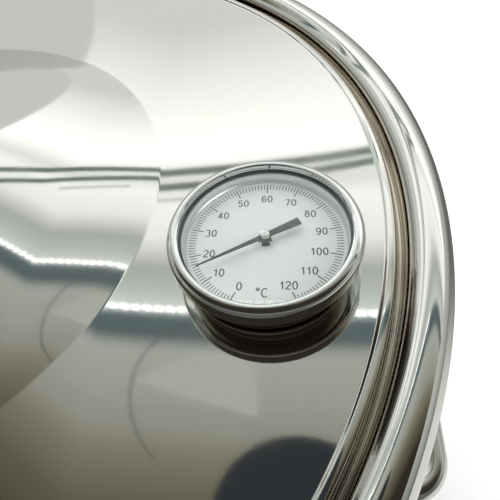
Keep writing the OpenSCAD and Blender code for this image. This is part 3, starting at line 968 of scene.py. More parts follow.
class Lid(Assembly):
    """The recessed lid with its domed middle, its bar handle and the handle's rivets."""

    body = "lid"

    def build(self, size: LidSizes) -> None:
        """Builds and dresses the lid's pieces.

        Args:
            size: The lid's sizes.
        """
        self.size = size
        self.dome_ball = (size.crease_r ** 2 + size.dome_h ** 2) / (2 * size.dome_h)
        panel = turned("lid_shell", self.section(), steps=256, angle=60)
        mid = self.places.lid_plate - size.sheet * MM / 2
        settle(panel, Matrix.Translation((0, 0, mid)))
        self.hand_over(panel, "lid_steel", nodes=["lid_panel"])
        self.handle()

    def section(self) -> Outline:
        """Draws the lid's sheet from its middle to the hem of its skirt.

        Returns:
            The closed outline of the sheet.
        """
        s = self.size
        ball = self.dome_ball
        slope = math.asin(s.crease_r / ball)
        rings = 26
        run = 0.98
        dome = [(ball * math.sin(slope * run * i / rings),
                 s.dome_h - ball + ball * math.cos(slope * run * i / rings)) for i in range(rings)]
        edge = [(*dome[-1], 0), (s.crease_r, 0, s.crease_bend), (s.plate_r, 0, 1.2),
                (s.plate_r + s.ridge_h, s.ridge_h, 0.55), (s.ridge_out, s.ridge_h, 0.45),
                (s.groove_in, s.groove_mid, 0)]
        groove = Outline(s.groove_in, s.groove_mid)
        groove.arc((s.wall_r - s.groove_r, s.groove_mid), s.groove_r, 180, 360, 10)
        groove.arc((s.wall_r + s.roll_r, s.roll_mid), s.roll_r, 180, 0, 36)
        skirt_r = s.wall_r + 2 * s.roll_r
        groove.to(skirt_r, s.hem_z * 0.5).to(skirt_r, s.hem_z + s.hem_r)
        middle = dome[:-1] + rounded(edge, 5)[:-1] + groove.points
        top = offset_side(middle, s.sheet / 2)
        under = offset_side(middle, -s.sheet / 2)
        outline = Outline(*top[0])
        for point in top[1:-1]:
            outline.to(*point)
        tilt = math.degrees(math.asin(s.sheet / 2 / s.hem_r))
        outline.arc((skirt_r, s.hem_z), s.hem_r, 90 - tilt, -270 + tilt, 16)
        for point in reversed(under[:-1]):
            outline.to(*point)
        return outline

    def foot_places(self) -> list[Matrix]:
        """Returns the places of the handle's two feet on the dome."""
        s = self.size
        tilt = math.asin(s.feet_apart / 2 / self.dome_ball)
        top = s.dome_h - self.dome_ball + self.dome_ball * math.cos(tilt)
        places = []
        for side in (-1, 1):
            spot = Vector((0, side * s.feet_apart / 2 * MM, self.places.lid_plate + top * MM))
            places.append(Matrix.Translation(spot) @ Matrix.Rotation(-side * tilt, 4, "X"))
        return places

    def handle(self) -> None:
        """Builds the bar, its two feet and their rivets."""
        s = self.size
        feet = self.foot_places()
        start = feet[0].translation + Vector((0, 0, s.foot_t / 2 * MM))
        leg = (s.grip_h - s.bar_r - s.grip_bend - s.foot_t / 2) * MM
        bar = Bar("lid_grip", s.bar_r * MM, start, UP).straight(leg, 3)
        bar.bend(s.grip_bend * MM, Vector((0, 1, 0))).straight((s.feet_apart - 2 * s.grip_bend) * MM, 4)
        bar.bend(s.grip_bend * MM, -UP).straight(leg, 3)
        self.hand_over(bar.end(), "bar_steel", nodes=["lid_handle"])
        flare = s.bar_r + 2.2
        foot = (Outline(0, 0).to(s.foot_r, 0).arc((s.foot_r - 0.8, s.foot_t - 0.8), 0.8, 0, 90, 4)
                .to(flare, s.foot_t).arc((flare, s.foot_t + 2.2), 2.2, 270, 180, 6).to(0, s.foot_t + 2.2))
        rivet = domed_rivet("lid_rivet_a", 4.6, 1.8)
        base = turned("lid_foot_a", foot, steps=64)
        rivets = [(i, dx) for i in (0, 1) for dx in (-1, 1)]
        for number, (i, dx) in enumerate(rivets):
            shift = Matrix.Translation((dx * s.rivet_x * MM, 0, s.foot_t * MM))
            twin = copied(rivet, f"lid_rivet_{number}", feet[i] @ shift)
            self.hand_over(twin, "bracket_steel", nodes=["lid_rivets"])
        for i, name in enumerate(("near", "far")):
            self.hand_over(copied(base, f"lid_foot_{name}", feet[i]), "bar_steel", nodes=["lid_handle"])
        for blank in (rivet, base):
            bpy.data.objects.remove(blank)


# ---------------------------------------------------------------------------------------------
# figures of the dial
# ---------------------------------------------------------------------------------------------

# Each figure is a few pen strokes in a box one unit high. A pair is a point, and six numbers are
# an arc: its centre, its two radii, and its first and last angle.
FIGURES: dict[str, tuple[float, tuple]] = {
    "0": (0.56, (((0.28, 0.5, 0.225, 0.44, 0, 360),),)),
    "1": (0.48, (((0.10, 0.73), (0.22, 0.78), (0.31, 0.94)), ((0.31, 0.94), (0.31, 0.06)))),
    "2": (0.56, (((0.28, 0.69, 0.21, 0.25, 170, -30), (0.08, 0.15), (0.06, 0.06)),
                ((0.06, 0.06), (0.51, 0.06)))),
    "3": (0.56, (((0.27, 0.715, 0.195, 0.225, 155, -75), (0.27, 0.29, 0.22, 0.23, 75, -155)),)),
    "4": (0.56, (((0.39, 0.06), (0.39, 0.94)), ((0.39, 0.94), (0.06, 0.31)), ((0.06, 0.31), (0.53, 0.31)))),
    "5": (0.56, (((0.48, 0.94), (0.15, 0.94)), ((0.15, 0.94), (0.10, 0.48)),
                ((0.28, 0.34, 0.22, 0.28, 130, -150),))),
    "6": (0.56, (((0.28, 0.33, 0.21, 0.27, 0, 360),), ((0.30, 0.5, 0.235, 0.44, 45, 195),))),
    "7": (0.56, (((0.06, 0.94), (0.51, 0.94)), ((0.51, 0.94), (0.20, 0.06)))),
    "8": (0.56, (((0.28, 0.715, 0.18, 0.225, 0, 360),), ((0.28, 0.285, 0.22, 0.235, 0, 360),))),
    "9": (0.56, (((0.28, 0.67, 0.21, 0.27, 0, 360),), ((0.26, 0.5, 0.235, 0.44, 225, 375),))),
    "C": (0.64, (((0.34, 0.5, 0.28, 0.44, 48, 312),),)),
    "o": (0.34, (((0.17, 0.86, 0.12, 0.13, 0, 360),),)),
}
LETTER_GAP = 0.12
ARC_CHORDS = 20


def stroke_points(stroke: tuple) -> list[Point]:
    """Works out the points of one pen stroke.

    Args:
        stroke: Points and arcs, one after the other.

    Returns:
        The points along it.
    """
    points: list[Point] = []
    for part in stroke:
        if len(part) == 2:
            points.append(part)
            continue
        x, y, rx, ry, start, end = part
        for i in range(ARC_CHORDS + 1):
            a = math.radians(start + (end - start) * i / ARC_CHORDS)
            points.append((x + rx * math.cos(a), y + ry * math.sin(a)))
    return points


def pen_drawn(name: str, words: list[tuple[str, Point]], height: float, pen: float,
              thick: float) -> bpy.types.Object:
    """Draws figures with a round pen and flattens the strokes to a raised print.

    Args:
        name: Name of the piece.
        words: Each word with the place of its middle, in millimetres.
        height: Height of the figures, in millimetres.
        pen: Width of the strokes.
        thick: How far the print stands up.

    Returns:
        The print, lying on the origin.
    """
    curve = bpy.data.curves.new(name, "CURVE")
    curve.dimensions = "3D"
    curve.bevel_depth = pen / 2 * MM
    curve.bevel_resolution = 1
    curve.use_fill_caps = True
    for word, (mx, my) in words:
        width = sum(FIGURES[c][0] for c in word) + LETTER_GAP * (len(word) - 1)
        left = -width / 2
        for letter in word:
            room, strokes = FIGURES[letter]
            for stroke in strokes:
                points = stroke_points(stroke)
                ring = math.dist(points[0], points[-1]) < 1e-6
                points = points[:-1] if ring else points
                spline = curve.splines.new("POLY")
                spline.points.add(len(points) - 1)
                spline.use_cyclic_u = ring
                for knot, (x, y) in zip(spline.points, points):
                    knot.co = ((mx + (left + x) * height) * MM, (my + (y - 0.5) * height) * MM, 0, 1)
            left += room + LETTER_GAP
    obj = bpy.data.objects.new(name, curve)
    bpy.context.scene.collection.objects.link(obj)
    clear_selection()
    obj.select_set(True)
    bpy.context.view_layer.objects.active = obj
    bpy.ops.object.convert(target="MESH")
    obj = bpy.context.active_object
    return settle(obj, Matrix.Diagonal((1, 1, 2 * thick / pen, 1)))


# ---------------------------------------------------------------------------------------------
# thermometer
# ---------------------------------------------------------------------------------------------

@dataclass
class DialSizes:
    """Sizes of the thermometer, in millimetres above the lid plate, and its scale."""
    front: float = 13.8
    lip_drop: float = 1.3
    bezel_r: float = 26.3
    opening_r: float = 23.15
    round_r: float = 2.1
    case_r: float = 23.5
    flange_r: float = 24.8
    flange_z: float = 9.6
    glass_t: float = 1.3
    fillet: float = 0.9
    sheet: float = 0.8
    dial_r: float = 22.5
    ring_r: float = 22.05
    tick_out: float = 21.15
    tick_in: float = 19.2
    long_in: float = 17.8
    tick_w: float = 0.25
    long_w: float = 0.33
    figures_r: float = 15.6
    figures_in: float = 0.8
    figure_h: float = 2.55
    unit_r: float = 16.5
    unit_h: float = 2.9
    step: float = 2.6
    top_mark: float = 60.0
    last_mark: int = 120
    long_every: int = 10
    print_t: float = 0.02
    pen: float = 0.36
    rest_temp: float = 14.5
    needle_len: float = 20.1
    tail_len: float = 10.6
    needle_t: float = 0.4
    hub_r: float = 1.7


class Thermometer(Assembly):
    """The dial thermometer in the lid: case, bezel, glass, printed dial, pointer and probe."""

    body = "lid"

    def build(self, size: DialSizes) -> None:
        """Builds and dresses the thermometer's pieces.

        Args:
            size: Its sizes.
        """
        self.size = size
        self.here = Matrix.Translation(self.places.dial)
        self.face = Matrix.Translation((self.places.dial.x, self.places.dial.y, self.places.dial_face))
        self.case()
        self.window()
        self.dial()
        self.ticks()
        self.figures()
        self.pointer()
        self.probe()

    def case(self) -> None:
        """Builds the drawn cup and the bezel rolled over its flange."""
        s = self.size
        bend = s.case_r - s.fillet
        cup = (Outline(10.6, 1).to(bend, 1).arc((bend, 1 + s.fillet), s.fillet, 270, 360, 8)
               .to(s.case_r, s.flange_z).to(s.flange_r - 0.3, s.flange_z).to(s.flange_r, s.flange_z + 0.3)
               .to(s.flange_r, s.flange_z + s.sheet).to(s.case_r - s.sheet, s.flange_z + s.sheet)
               .to(s.case_r - s.sheet, 1 + s.sheet).to(10.6, 1 + s.sheet).close())
        self.hand_over(settle(turned("thermometer_case", cup, 192), self.here), "case_steel",
                       nodes=["dial_case"])
        inner = s.flange_r + 0.05
        curl = (s.bezel_r - inner) / 2
        low = s.flange_z - 1.6
        lip = s.front - s.lip_drop - 0.3
        shoulder = s.bezel_r - s.round_r
        ring = Outline(s.opening_r, lip).to(s.opening_r, lip + 0.2)
        ring.arc((s.opening_r + 0.25, lip + 0.3), 0.25, 180, 130, 5)
        ring.arc((shoulder, s.front - s.round_r), s.round_r, 118, 0, 18)
        ring.to(s.bezel_r, low + curl).arc((s.bezel_r - curl, low + curl), curl, 0, -90, 8)
        ring.to(s.case_r + 0.05, low).to(s.case_r + 0.05, s.flange_z - 0.05).to(inner, s.flange_z - 0.05)
        ring.to(inner, lip).close()
        self.hand_over(settle(turned("thermometer_bezel", ring, 224, 40), self.here), "bezel_chrome",
                       nodes=["bezel_ring"])

    def window(self) -> None:
        """Builds the flat glass, the dark seal round it and the bright wall down to the dial."""
        s = self.size
        top = s.front - s.lip_drop - 0.3
        low = top - s.glass_t
        pane_r = s.opening_r + 0.2
        pane = (Outline(0, low).to(pane_r - 0.2, low).to(pane_r, low + 0.2)
                .to(pane_r, top - 0.2).to(pane_r - 0.2, top).to(0, top))
        self.hand_over(settle(turned("dial_window", pane, 192), self.here), "clear_glass",
                       nodes=["dial_glass"])
        seat = s.flange_z + s.sheet + 0.02
        seal = (Outline(pane_r + 0.02, low).to(s.dial_r, low).to(s.dial_r, seat).to(s.flange_r, seat)
                .to(s.flange_r, top).to(pane_r + 0.02, top).close())
        self.hand_over(settle(turned("window_seal", seal, 192), self.here), "seal_grey", slot="black_rubber",
                       nodes=["lens_gasket"])
        foot = (self.places.dial_face - self.places.lid_plate) / MM
        inner = s.ring_r - 0.25
        wall = (Outline(inner, foot + 0.1).to(inner + 0.08, foot).to(s.dial_r, foot)
                .to(s.dial_r, low - 0.3).to(s.ring_r + 0.3, low - 0.3).to(s.ring_r + 0.2, low - 0.45)
                .to(s.ring_r + 0.12, foot + 0.95).to(inner, foot + 0.5).close())
        self.hand_over(settle(turned("window_spacer", wall, 192), self.here), "bright_sleeve",
                       nodes=["lens_spacer"])

    def dial(self) -> None:
        """Builds the dial plate with a fine line pressed round its edge."""
        s = self.size
        plate = (Outline(1.8, -0.6).to(s.dial_r, -0.6).to(s.dial_r, -0.05).to(s.dial_r - 0.05, 0)
                 .to(1.85, 0).to(1.8, -0.05).close())
        self.hand_over(settle(turned("dial_disc", plate, 160), self.face), "dial_white",
                       nodes=["dial_plate"])
        line = (Outline(s.ring_r - 0.09, 0).to(s.ring_r - 0.05, s.print_t).to(s.ring_r + 0.05, s.print_t)
                .to(s.ring_r + 0.09, 0).close())
        self.hand_over(settle(turned("dial_edge_line", line, 160), self.face), "dial_line",
                       slot="needle_black")

    def mark_angle(self, temperature: float) -> float:
        """Returns the angle of a temperature on the dial, in radians from +X."""
        s = self.size
        return math.radians(90 - s.step * (temperature - s.top_mark))

    def ring_of_ticks(self, name: str, inner: float, width: float, every: int) -> bpy.types.Object:
        """Models one tick and repeats it round the scale.

        Args:
            name: Name of the ring.
            inner: Radius at which a tick ends.
            width: Width of a tick.
            every: Degrees Celsius from one tick to the next.

        Returns:
            The ticks as one mesh, round the origin.
        """
        s = self.size
        clear_selection()
        length, middle = s.tick_out - inner, (s.tick_out + inner) / 2
        bpy.ops.mesh.primitive_cube_add(size=1, location=(0, 0, 0))
        tick = bpy.context.active_object
        tick.name = tick.data.name = name
        edit(tick)
        bpy.ops.mesh.select_all(action="SELECT")
        bpy.ops.transform.resize(value=(length * MM, width * MM, s.print_t * MM))
        bpy.ops.transform.translate(value=(middle * MM, 0, s.print_t * MM / 2))
        pick(tick, lambda c: c.z > s.print_t * MM * 0.9)
        bpy.ops.transform.resize(value=(0.985, 0.8, 1))
        bpy.ops.object.mode_set(mode="OBJECT")
        settle(tick, Matrix.Rotation(self.mark_angle(0), 4, "Z"))
        pivot = bpy.data.objects.new("tick_pivot", None)
        bpy.context.scene.collection.objects.link(pivot)
        pivot.rotation_euler = (0, 0, -math.radians(s.step * every))
        bpy.context.view_layer.update()
        apply_modifier(tick, "ARRAY", count=s.last_mark // every + 1, use_relative_offset=False,
                       use_object_offset=True, offset_object=pivot)
        bpy.data.objects.remove(pivot)
        return tick

    def ticks(self) -> None:
        """Builds the short and the long marks of the scale."""
        s = self.size
        short = self.ring_of_ticks("scale_marks", s.tick_in, s.tick_w, 1)
        long = self.ring_of_ticks("scale_long_marks", s.long_in, s.long_w, s.long_every)
        for obj in (short, long):
            self.hand_over(settle(obj, self.face), "dial_ink", slot="needle_black")

    def figures(self) -> None:
        """Prints the numbers of the scale and the unit."""
        s = self.size
        numbers = []
        for mark in range(0, s.last_mark + 1, s.long_every):
            a = self.mark_angle(mark)
            r = s.figures_r - (s.figures_in * math.cos(a) ** 2 if mark >= 100 else 0)
            numbers.append((str(mark), (r * math.cos(a), r * math.sin(a) - 0.2)))
        scale = pen_drawn("scale_numbers", numbers, s.figure_h, s.pen, s.print_t)
        unit = pen_drawn("scale_unit", [("oC", (-0.4, -s.unit_r))], s.unit_h, s.pen, s.print_t)
        for obj in (scale, unit):
            self.hand_over(settle(obj, self.face), "dial_ink", slot="needle_black")

    def blade(self, name: str, tip: float, wide: float, narrow: float) -> bpy.types.Object:
        """Models one arm of the pointer from a slab: narrowed at its tip and bevelled on top.

        Args:
            name: Name of the piece.
            tip: Where the arm ends along X.
            wide: Half its width at the hub.
            narrow: Half its width at the tip.

        Returns:
            The arm, lying on the origin.
        """
        s = self.size
        clear_selection()
        bpy.ops.mesh.primitive_cube_add(size=1)
        arm = bpy.context.active_object
        arm.name = arm.data.name = name
        edit(arm)
        bpy.ops.mesh.select_all(action="SELECT")
        bpy.ops.transform.resize(value=(abs(tip) * MM, 2 * wide * MM, s.needle_t * MM))
        bpy.ops.transform.translate(value=(tip / 2 * MM, 0, s.needle_t / 2 * MM))
        way = 1 if tip > 0 else -1
        pick(arm, lambda c: c.x * way > abs(tip) * MM * 0.9)
        bpy.ops.transform.resize(value=(1, narrow / wide, 1))
        bpy.ops.object.mode_set(mode="OBJECT")
        apply_modifier(arm, "BEVEL", width=0.06 * MM, segments=2, limit_method="ANGLE")
        return finish_mesh(arm, 25)

    def pointer(self) -> None:
        """Builds the pointer with its flared tail, its collar and its cap, on their own body."""
        s = self.size
        needle = self.blade("needle", s.needle_len, 0.75, 0.1)
        tail = self.blade("tail", -s.tail_len, 0.8, 1.25)
        hub = turned("hub", Outline(0, 0).to(s.hub_r, 0).to(s.hub_r, s.needle_t - 0.08)
                     .to(s.hub_r - 0.08, s.needle_t).to(0, s.needle_t), 64)
        spot = Vector((self.places.dial.x, self.places.dial.y, self.places.needle))
        here = Matrix.Translation(spot)
        turned_there = here @ Matrix.Rotation(self.mark_angle(s.rest_temp), 4, "Z")
        pointer = settle(joined("pointer_blade", [needle, tail, hub]), turned_there)
        self.hand_over(pointer, "needle_black", body="pointer", nodes=["pointer"])
        gap = (self.places.needle - self.places.dial_face) / MM
        collar = Outline(0, -gap + 0.3).to(1.4, -gap + 0.3).to(1.4, -0.1).to(1.3, 0).to(0, 0)
        self.hand_over(settle(turned("pointer_neck", collar, 48), here), "needle_black", body="pointer",
                       nodes=["pointer_collar"])
        top = s.needle_t
        cap = (Outline(0, top).to(1.4, top).to(1.4, top + 0.4).arc((1.0, top + 0.4), 0.4, 0, 90, 5)
               .to(0.34, top + 0.8).to(0.28, top + 0.66).to(0, top + 0.66))
        self.hand_over(settle(turned("pointer_button", cap, 64), here), "cap_nickel", body="pointer",
                       nodes=["pointer_cap"])

    def probe(self) -> None:
        """Builds the probe with its rounded tip, and the nut under the lid."""
        lo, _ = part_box("probe_tip")
        _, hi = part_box("probe_stem")
        top = (hi[2] - self.places.lid_plate) / MM
        low = (lo[2] - self.places.lid_plate) / MM
        rod = Outline(0, low).arc((0, low + 3), 3, 270, 360, 10).to(3, top - 0.3).to(2.7, top).to(0, top)
        self.hand_over(settle(turned("probe_rod", rod, 64), self.here), "stem_steel",
                       nodes=["probe_stem", "probe_tip"])
        nut_lo, nut_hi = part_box("boss_nut")
        nut = hex_nut("lid_nut", 27, (nut_hi[2] - nut_lo[2]) / MM, 10.45)
        drop = Matrix.Translation((self.places.dial.x, self.places.dial.y, nut_lo[2]))
        self.hand_over(settle(nut, drop), "tap_steel", nodes=["boss_nut"])


# ---------------------------------------------------------------------------------------------
# pot
# ---------------------------------------------------------------------------------------------

@dataclass
class PotSizes:
    """Sizes of the pot and its side handles, in millimetres."""
    inside_r: float = 175.0
    wall: float = 1.2
    bead_r: float = 3.5
    corner_r: float = 14.0
    base_t: float = 6.0
    base_r: float = 156.0
    grip_z: float = 200.0
    grip_span: float = 110.0
    grip_reach: float = 212.0
    grip_bend: float = 16.0
    bar_r: float = 6.0
    plate_t: float = 2.5
    plate_w: float = 28.0
    plate_h: float = 48.0
    rivet_up: float = 16.0
    rivet_head_r: float = 5.0


class Pot(Assembly):
    """The spun pot with its sandwich base and two riveted bar handles."""

    body = "pot"

    def build(self, size: PotSizes) -> None:
        """Builds and dresses the pot's pieces.

        Args:
            size: The pot's sizes.
        """
        self.size = size
        self.outer = size.inside_r + size.wall
        self.vessel()
        self.handles()
        self.brackets()
        self.rivets()

    def vessel(self) -> None:
        """Builds the wall with its rolled bead, and the base."""
        s = self.size
        top = self.places.pot_top / MM - s.bead_r
        floor = s.base_t + s.wall
        corner = (s.inside_r - s.corner_r, floor + s.corner_r)
        curl = math.degrees(math.asin(1 - s.wall / s.bead_r))
        bead = (s.inside_r + s.bead_r, top)
        shell = Outline(0, s.base_t).to(s.inside_r * 0.5, s.base_t)
        shell.arc(corner, s.corner_r + s.wall, 270, 360, 14)
        for i in range(1, 8):
            shell.to(self.outer, corner[1] + (top - s.bead_r - corner[1]) * i / 8)
        shell.arc(bead, s.bead_r, 180 + curl, 540, 32)
        for i in range(7, 0, -1):
            shell.to(s.inside_r, corner[1] + (top - s.bead_r - corner[1]) * i / 8)
        shell.arc(corner, s.corner_r, 360, 270, 12).to(s.inside_r * 0.5, floor).to(0, floor)
        self.hand_over(turned("pot_wall", shell, 224, 50), "pot_steel", nodes=["pot_shell"])
        base = (Outline(0, 0).to(s.base_r - 2, 0).arc((s.base_r - 2, 2), 2, 270, 360, 6)
                .arc((s.base_r - 2, s.base_t - 2), 2, 0, 90, 6).to(0, s.base_t))
        self.hand_over(turned("pot_base", base, 224), "pot_steel", nodes=["base_disc"])

    def handles(self) -> None:
        """Builds the two bent bars."""
        s = self.size
        start = (self.outer + 4) * MM
        leg = (s.grip_reach - s.bar_r - s.grip_bend) * MM - start
        bar = Bar("side_grip_right", s.bar_r * MM, Vector((start, -s.grip_span / 2 * MM, s.grip_z * MM)),
                  Vector((1, 0, 0)))
        bar.straight(leg, 3).bend(s.grip_bend * MM, Vector((0, 1, 0)))
        bar.straight((s.grip_span - 2 * s.grip_bend) * MM, 4).bend(s.grip_bend * MM, Vector((-1, 0, 0)))
        right = self.hand_over(bar.straight(leg, 3).end(), "bar_steel", nodes=["right_handle"])
        left = copied(right, "side_grip_left", Matrix.Rotation(math.pi, 4, "Z"))
        self.hand_over(left, "bar_steel", nodes=["left_handle"])

    def brackets(self) -> None:
        """Builds the four curved plates with their sockets."""
        s = self.size
        half_h = s.plate_h / 2
        sweep = math.degrees(s.plate_w / self.outer)
        round_off = 0.8
        face = self.outer + s.plate_t
        section = (Outline(self.outer, -half_h).to(face - round_off, -half_h)
                   .arc((face - round_off, -half_h + round_off), round_off, 270, 360, 4)
                   .arc((face - round_off, half_h - round_off), round_off, 0, 90, 4)
                   .to(self.outer, half_h).close())
        plate = turned("bracket_0", section, 12, 30, sweep)
        edit(plate)
        bpy.ops.mesh.select_mode(type="EDGE")
        bpy.ops.mesh.select_all(action="SELECT")
        bpy.ops.mesh.fill_holes(sides=0)
        finish_mesh(plate, 30)
        foot = math.degrees(math.asin(s.grip_span / 2 / self.outer))
        settle(plate, Matrix.Rotation(math.radians(foot - sweep / 2), 4, "Z"))
        socket_r = s.bar_r + 3
        inside = s.bar_r + 0.05
        sink, long = -8.0, 13.0
        sleeve = (Outline(inside, sink).to(socket_r + 3, sink).to(socket_r + 3, 0.6)
                  .arc((socket_r + 3, 3.6), 3, 270, 180, 6).to(socket_r, long - 0.8)
                  .arc((socket_r - 0.8, long - 0.8), 0.8, 0, 90, 4).to(inside, long).close())
        stand = facing(Vector(((self.outer - 6.0) * MM, s.grip_span / 2 * MM, 0)), Vector((1, 0, 0)))
        collar = settle(turned("collar", sleeve, 56), stand @ Matrix.Translation((0, 0, 8.5 * MM)))
        inner = Outline(self.outer - 30, -40).to(self.outer, -40).to(self.outer, 40).to(self.outer - 30, 40)
        cut_with(collar, turned("wall_cutter", inner.close(), 224))
        bracket = finish_mesh(joined("bracket_0", [plate, collar]), 30, turn_out=False)
        settle(bracket, Matrix.Translation((0, 0, s.grip_z * MM)))
        flip, round_ = Matrix.Scale(-1, 4, (0, 1, 0)), Matrix.Rotation(math.pi, 4, "Z")
        places = [Matrix.Identity(4), flip, round_, round_ @ flip]
        for i, place in enumerate(places):
            piece = bracket if i == 0 else copied(bracket, f"bracket_{i}", place)
            self.hand_over(piece, "bracket_steel", nodes=["handle_brackets"])

    def rivets(self) -> None:
        """Builds the eight rivets of the brackets."""
        s = self.size
        foot = math.asin(s.grip_span / 2 / self.outer)
        blank = domed_rivet("rivet_blank", s.rivet_head_r, 1.8)
        seat = facing(Vector(((self.outer + s.plate_t) * MM, 0, 0)), Vector((1, 0, 0)))
        number = 0
        for side in (0, math.pi):
            for leg in (-foot, foot):
                for up in (-s.rivet_up, s.rivet_up):
                    lift = Matrix.Translation((0, 0, (s.grip_z + up) * MM))
                    place = Matrix.Rotation(side + leg, 4, "Z") @ lift @ seat
                    twin = copied(blank, f"wall_rivet_{number}", place)
                    self.hand_over(twin, "bracket_steel", nodes=["handle_rivets"])
                    number += 1
        bpy.data.objects.remove(blank)


# ---------------------------------------------------------------------------------------------
# tap
# ---------------------------------------------------------------------------------------------

class Tap(Assembly):
    """The quarter-turn tap: its washer and its lock nut on the pot wall."""

    body = "pot"

    def span(self, node: str) -> Point:
        """Returns a fitting's stretch along the tap's axis, in millimetres from the kettle's axis."""
        lo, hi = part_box(node)
        return -hi[1] / MM, -lo[1] / MM

    def place_out(self, obj: bpy.types.Object, along: float) -> bpy.types.Object:
        """Stands a piece on the tap's axis, pointing out of the wall.

        Args:
            obj: The piece, standing on the origin.
            along: How far from the kettle's axis, in millimetres.

        Returns:
            The piece.
        """
        return settle(obj, facing(self.places.tap + OUT * along * MM, OUT))

    def build(self) -> None:
        """Builds and dresses the tap's pieces."""
        start, end = self.span("tap_washer")
        washer = (Outline(10.45, 0).to(17.1, 0).to(17.5, 0.4).to(17.5, end - start - 0.4)
                  .to(17.1, end - start).to(10.45, end - start).close())
        self.hand_over(self.place_out(turned("wall_washer", washer, 80), start), "tap_steel",
                       nodes=["tap_washer"])
        start, end = self.span("lock_nut")
        self.hand_over(self.place_out(hex_nut("wall_nut", 28, end - start, 10.45), start), "tap_steel",
                       nodes=["lock_nut"])


# ---------------------------------------------------------------------------------------------
# studio
# ---------------------------------------------------------------------------------------------

@dataclass(frozen=True)
class Card:
    """A flat lit or dark card that hangs over the kettle, seen only in its mirrored surfaces."""
    name: str
    corners: tuple[Point, ...]
    colour: Colour
    drop: float = 0.0

    def hang(self, level: float) -> None:
        """Makes the card.

        Args:
            level: Height of the cards, in metres.
        """
        material = bpy.data.materials.new(self.name)
        material.use_nodes = True
        tree = material.node_tree
        tree.nodes.clear()
        glow = tree.nodes.new("ShaderNodeEmission")
        glow.inputs["Color"].default_value = (*self.colour, 1)
        out = tree.nodes.new("ShaderNodeOutputMaterial")
        tree.links.new(glow.outputs[0], out.inputs[0])
        mesh = bpy.data.meshes.new(self.name)
        mesh.from_pydata([(x, y, level - self.drop) for x, y in self.corners], [],
                         [tuple(range(len(self.corners)))])
        card = bpy.data.objects.new(self.name, mesh)
        bpy.context.scene.collection.objects.link(card)
        mesh.materials.append(material)
        card.visible_camera = False
        card.visible_shadow = False
        card.visible_diffuse = False


def strip(x0: float, x1: float, y0: float, y1: float) -> tuple[Point, ...]:
    """Returns the corners of a rectangle."""
    return ((x0, y0), (x1, y0), (x1, y1), (x0, y1))


def ribbon(points: list[Point], width: float) -> tuple[Point, ...]:
    """Returns the corners of a band drawn along points.

    Args:
        points: Points along its middle.
        width: Its width.

    Returns:
        The corners, down one side and back up the other.
    """
    left, right = [], []
    for i, (x, y) in enumerate(points):
        before, after = points[max(i - 1, 0)], points[min(i + 1, len(points) - 1)]
        dx, dy = after[0] - before[0], after[1] - before[1]
        share = width / 2 / math.hypot(dx, dy)
        left.append((x - dy * share, y + dx * share))
        right.append((x + dy * share, y - dx * share))
    return tuple(left) + tuple(reversed(right))


def ring_points(centre: Point, radius: float, count: int = 72) -> tuple[Point, ...]:
    """Returns points round a circle, the first one again at the end."""
    angles = [TAU * i / count for i in range(count + 1)]
    return tuple((centre[0] + radius * math.cos(a), centre[1] + radius * math.sin(a)) for a in angles)


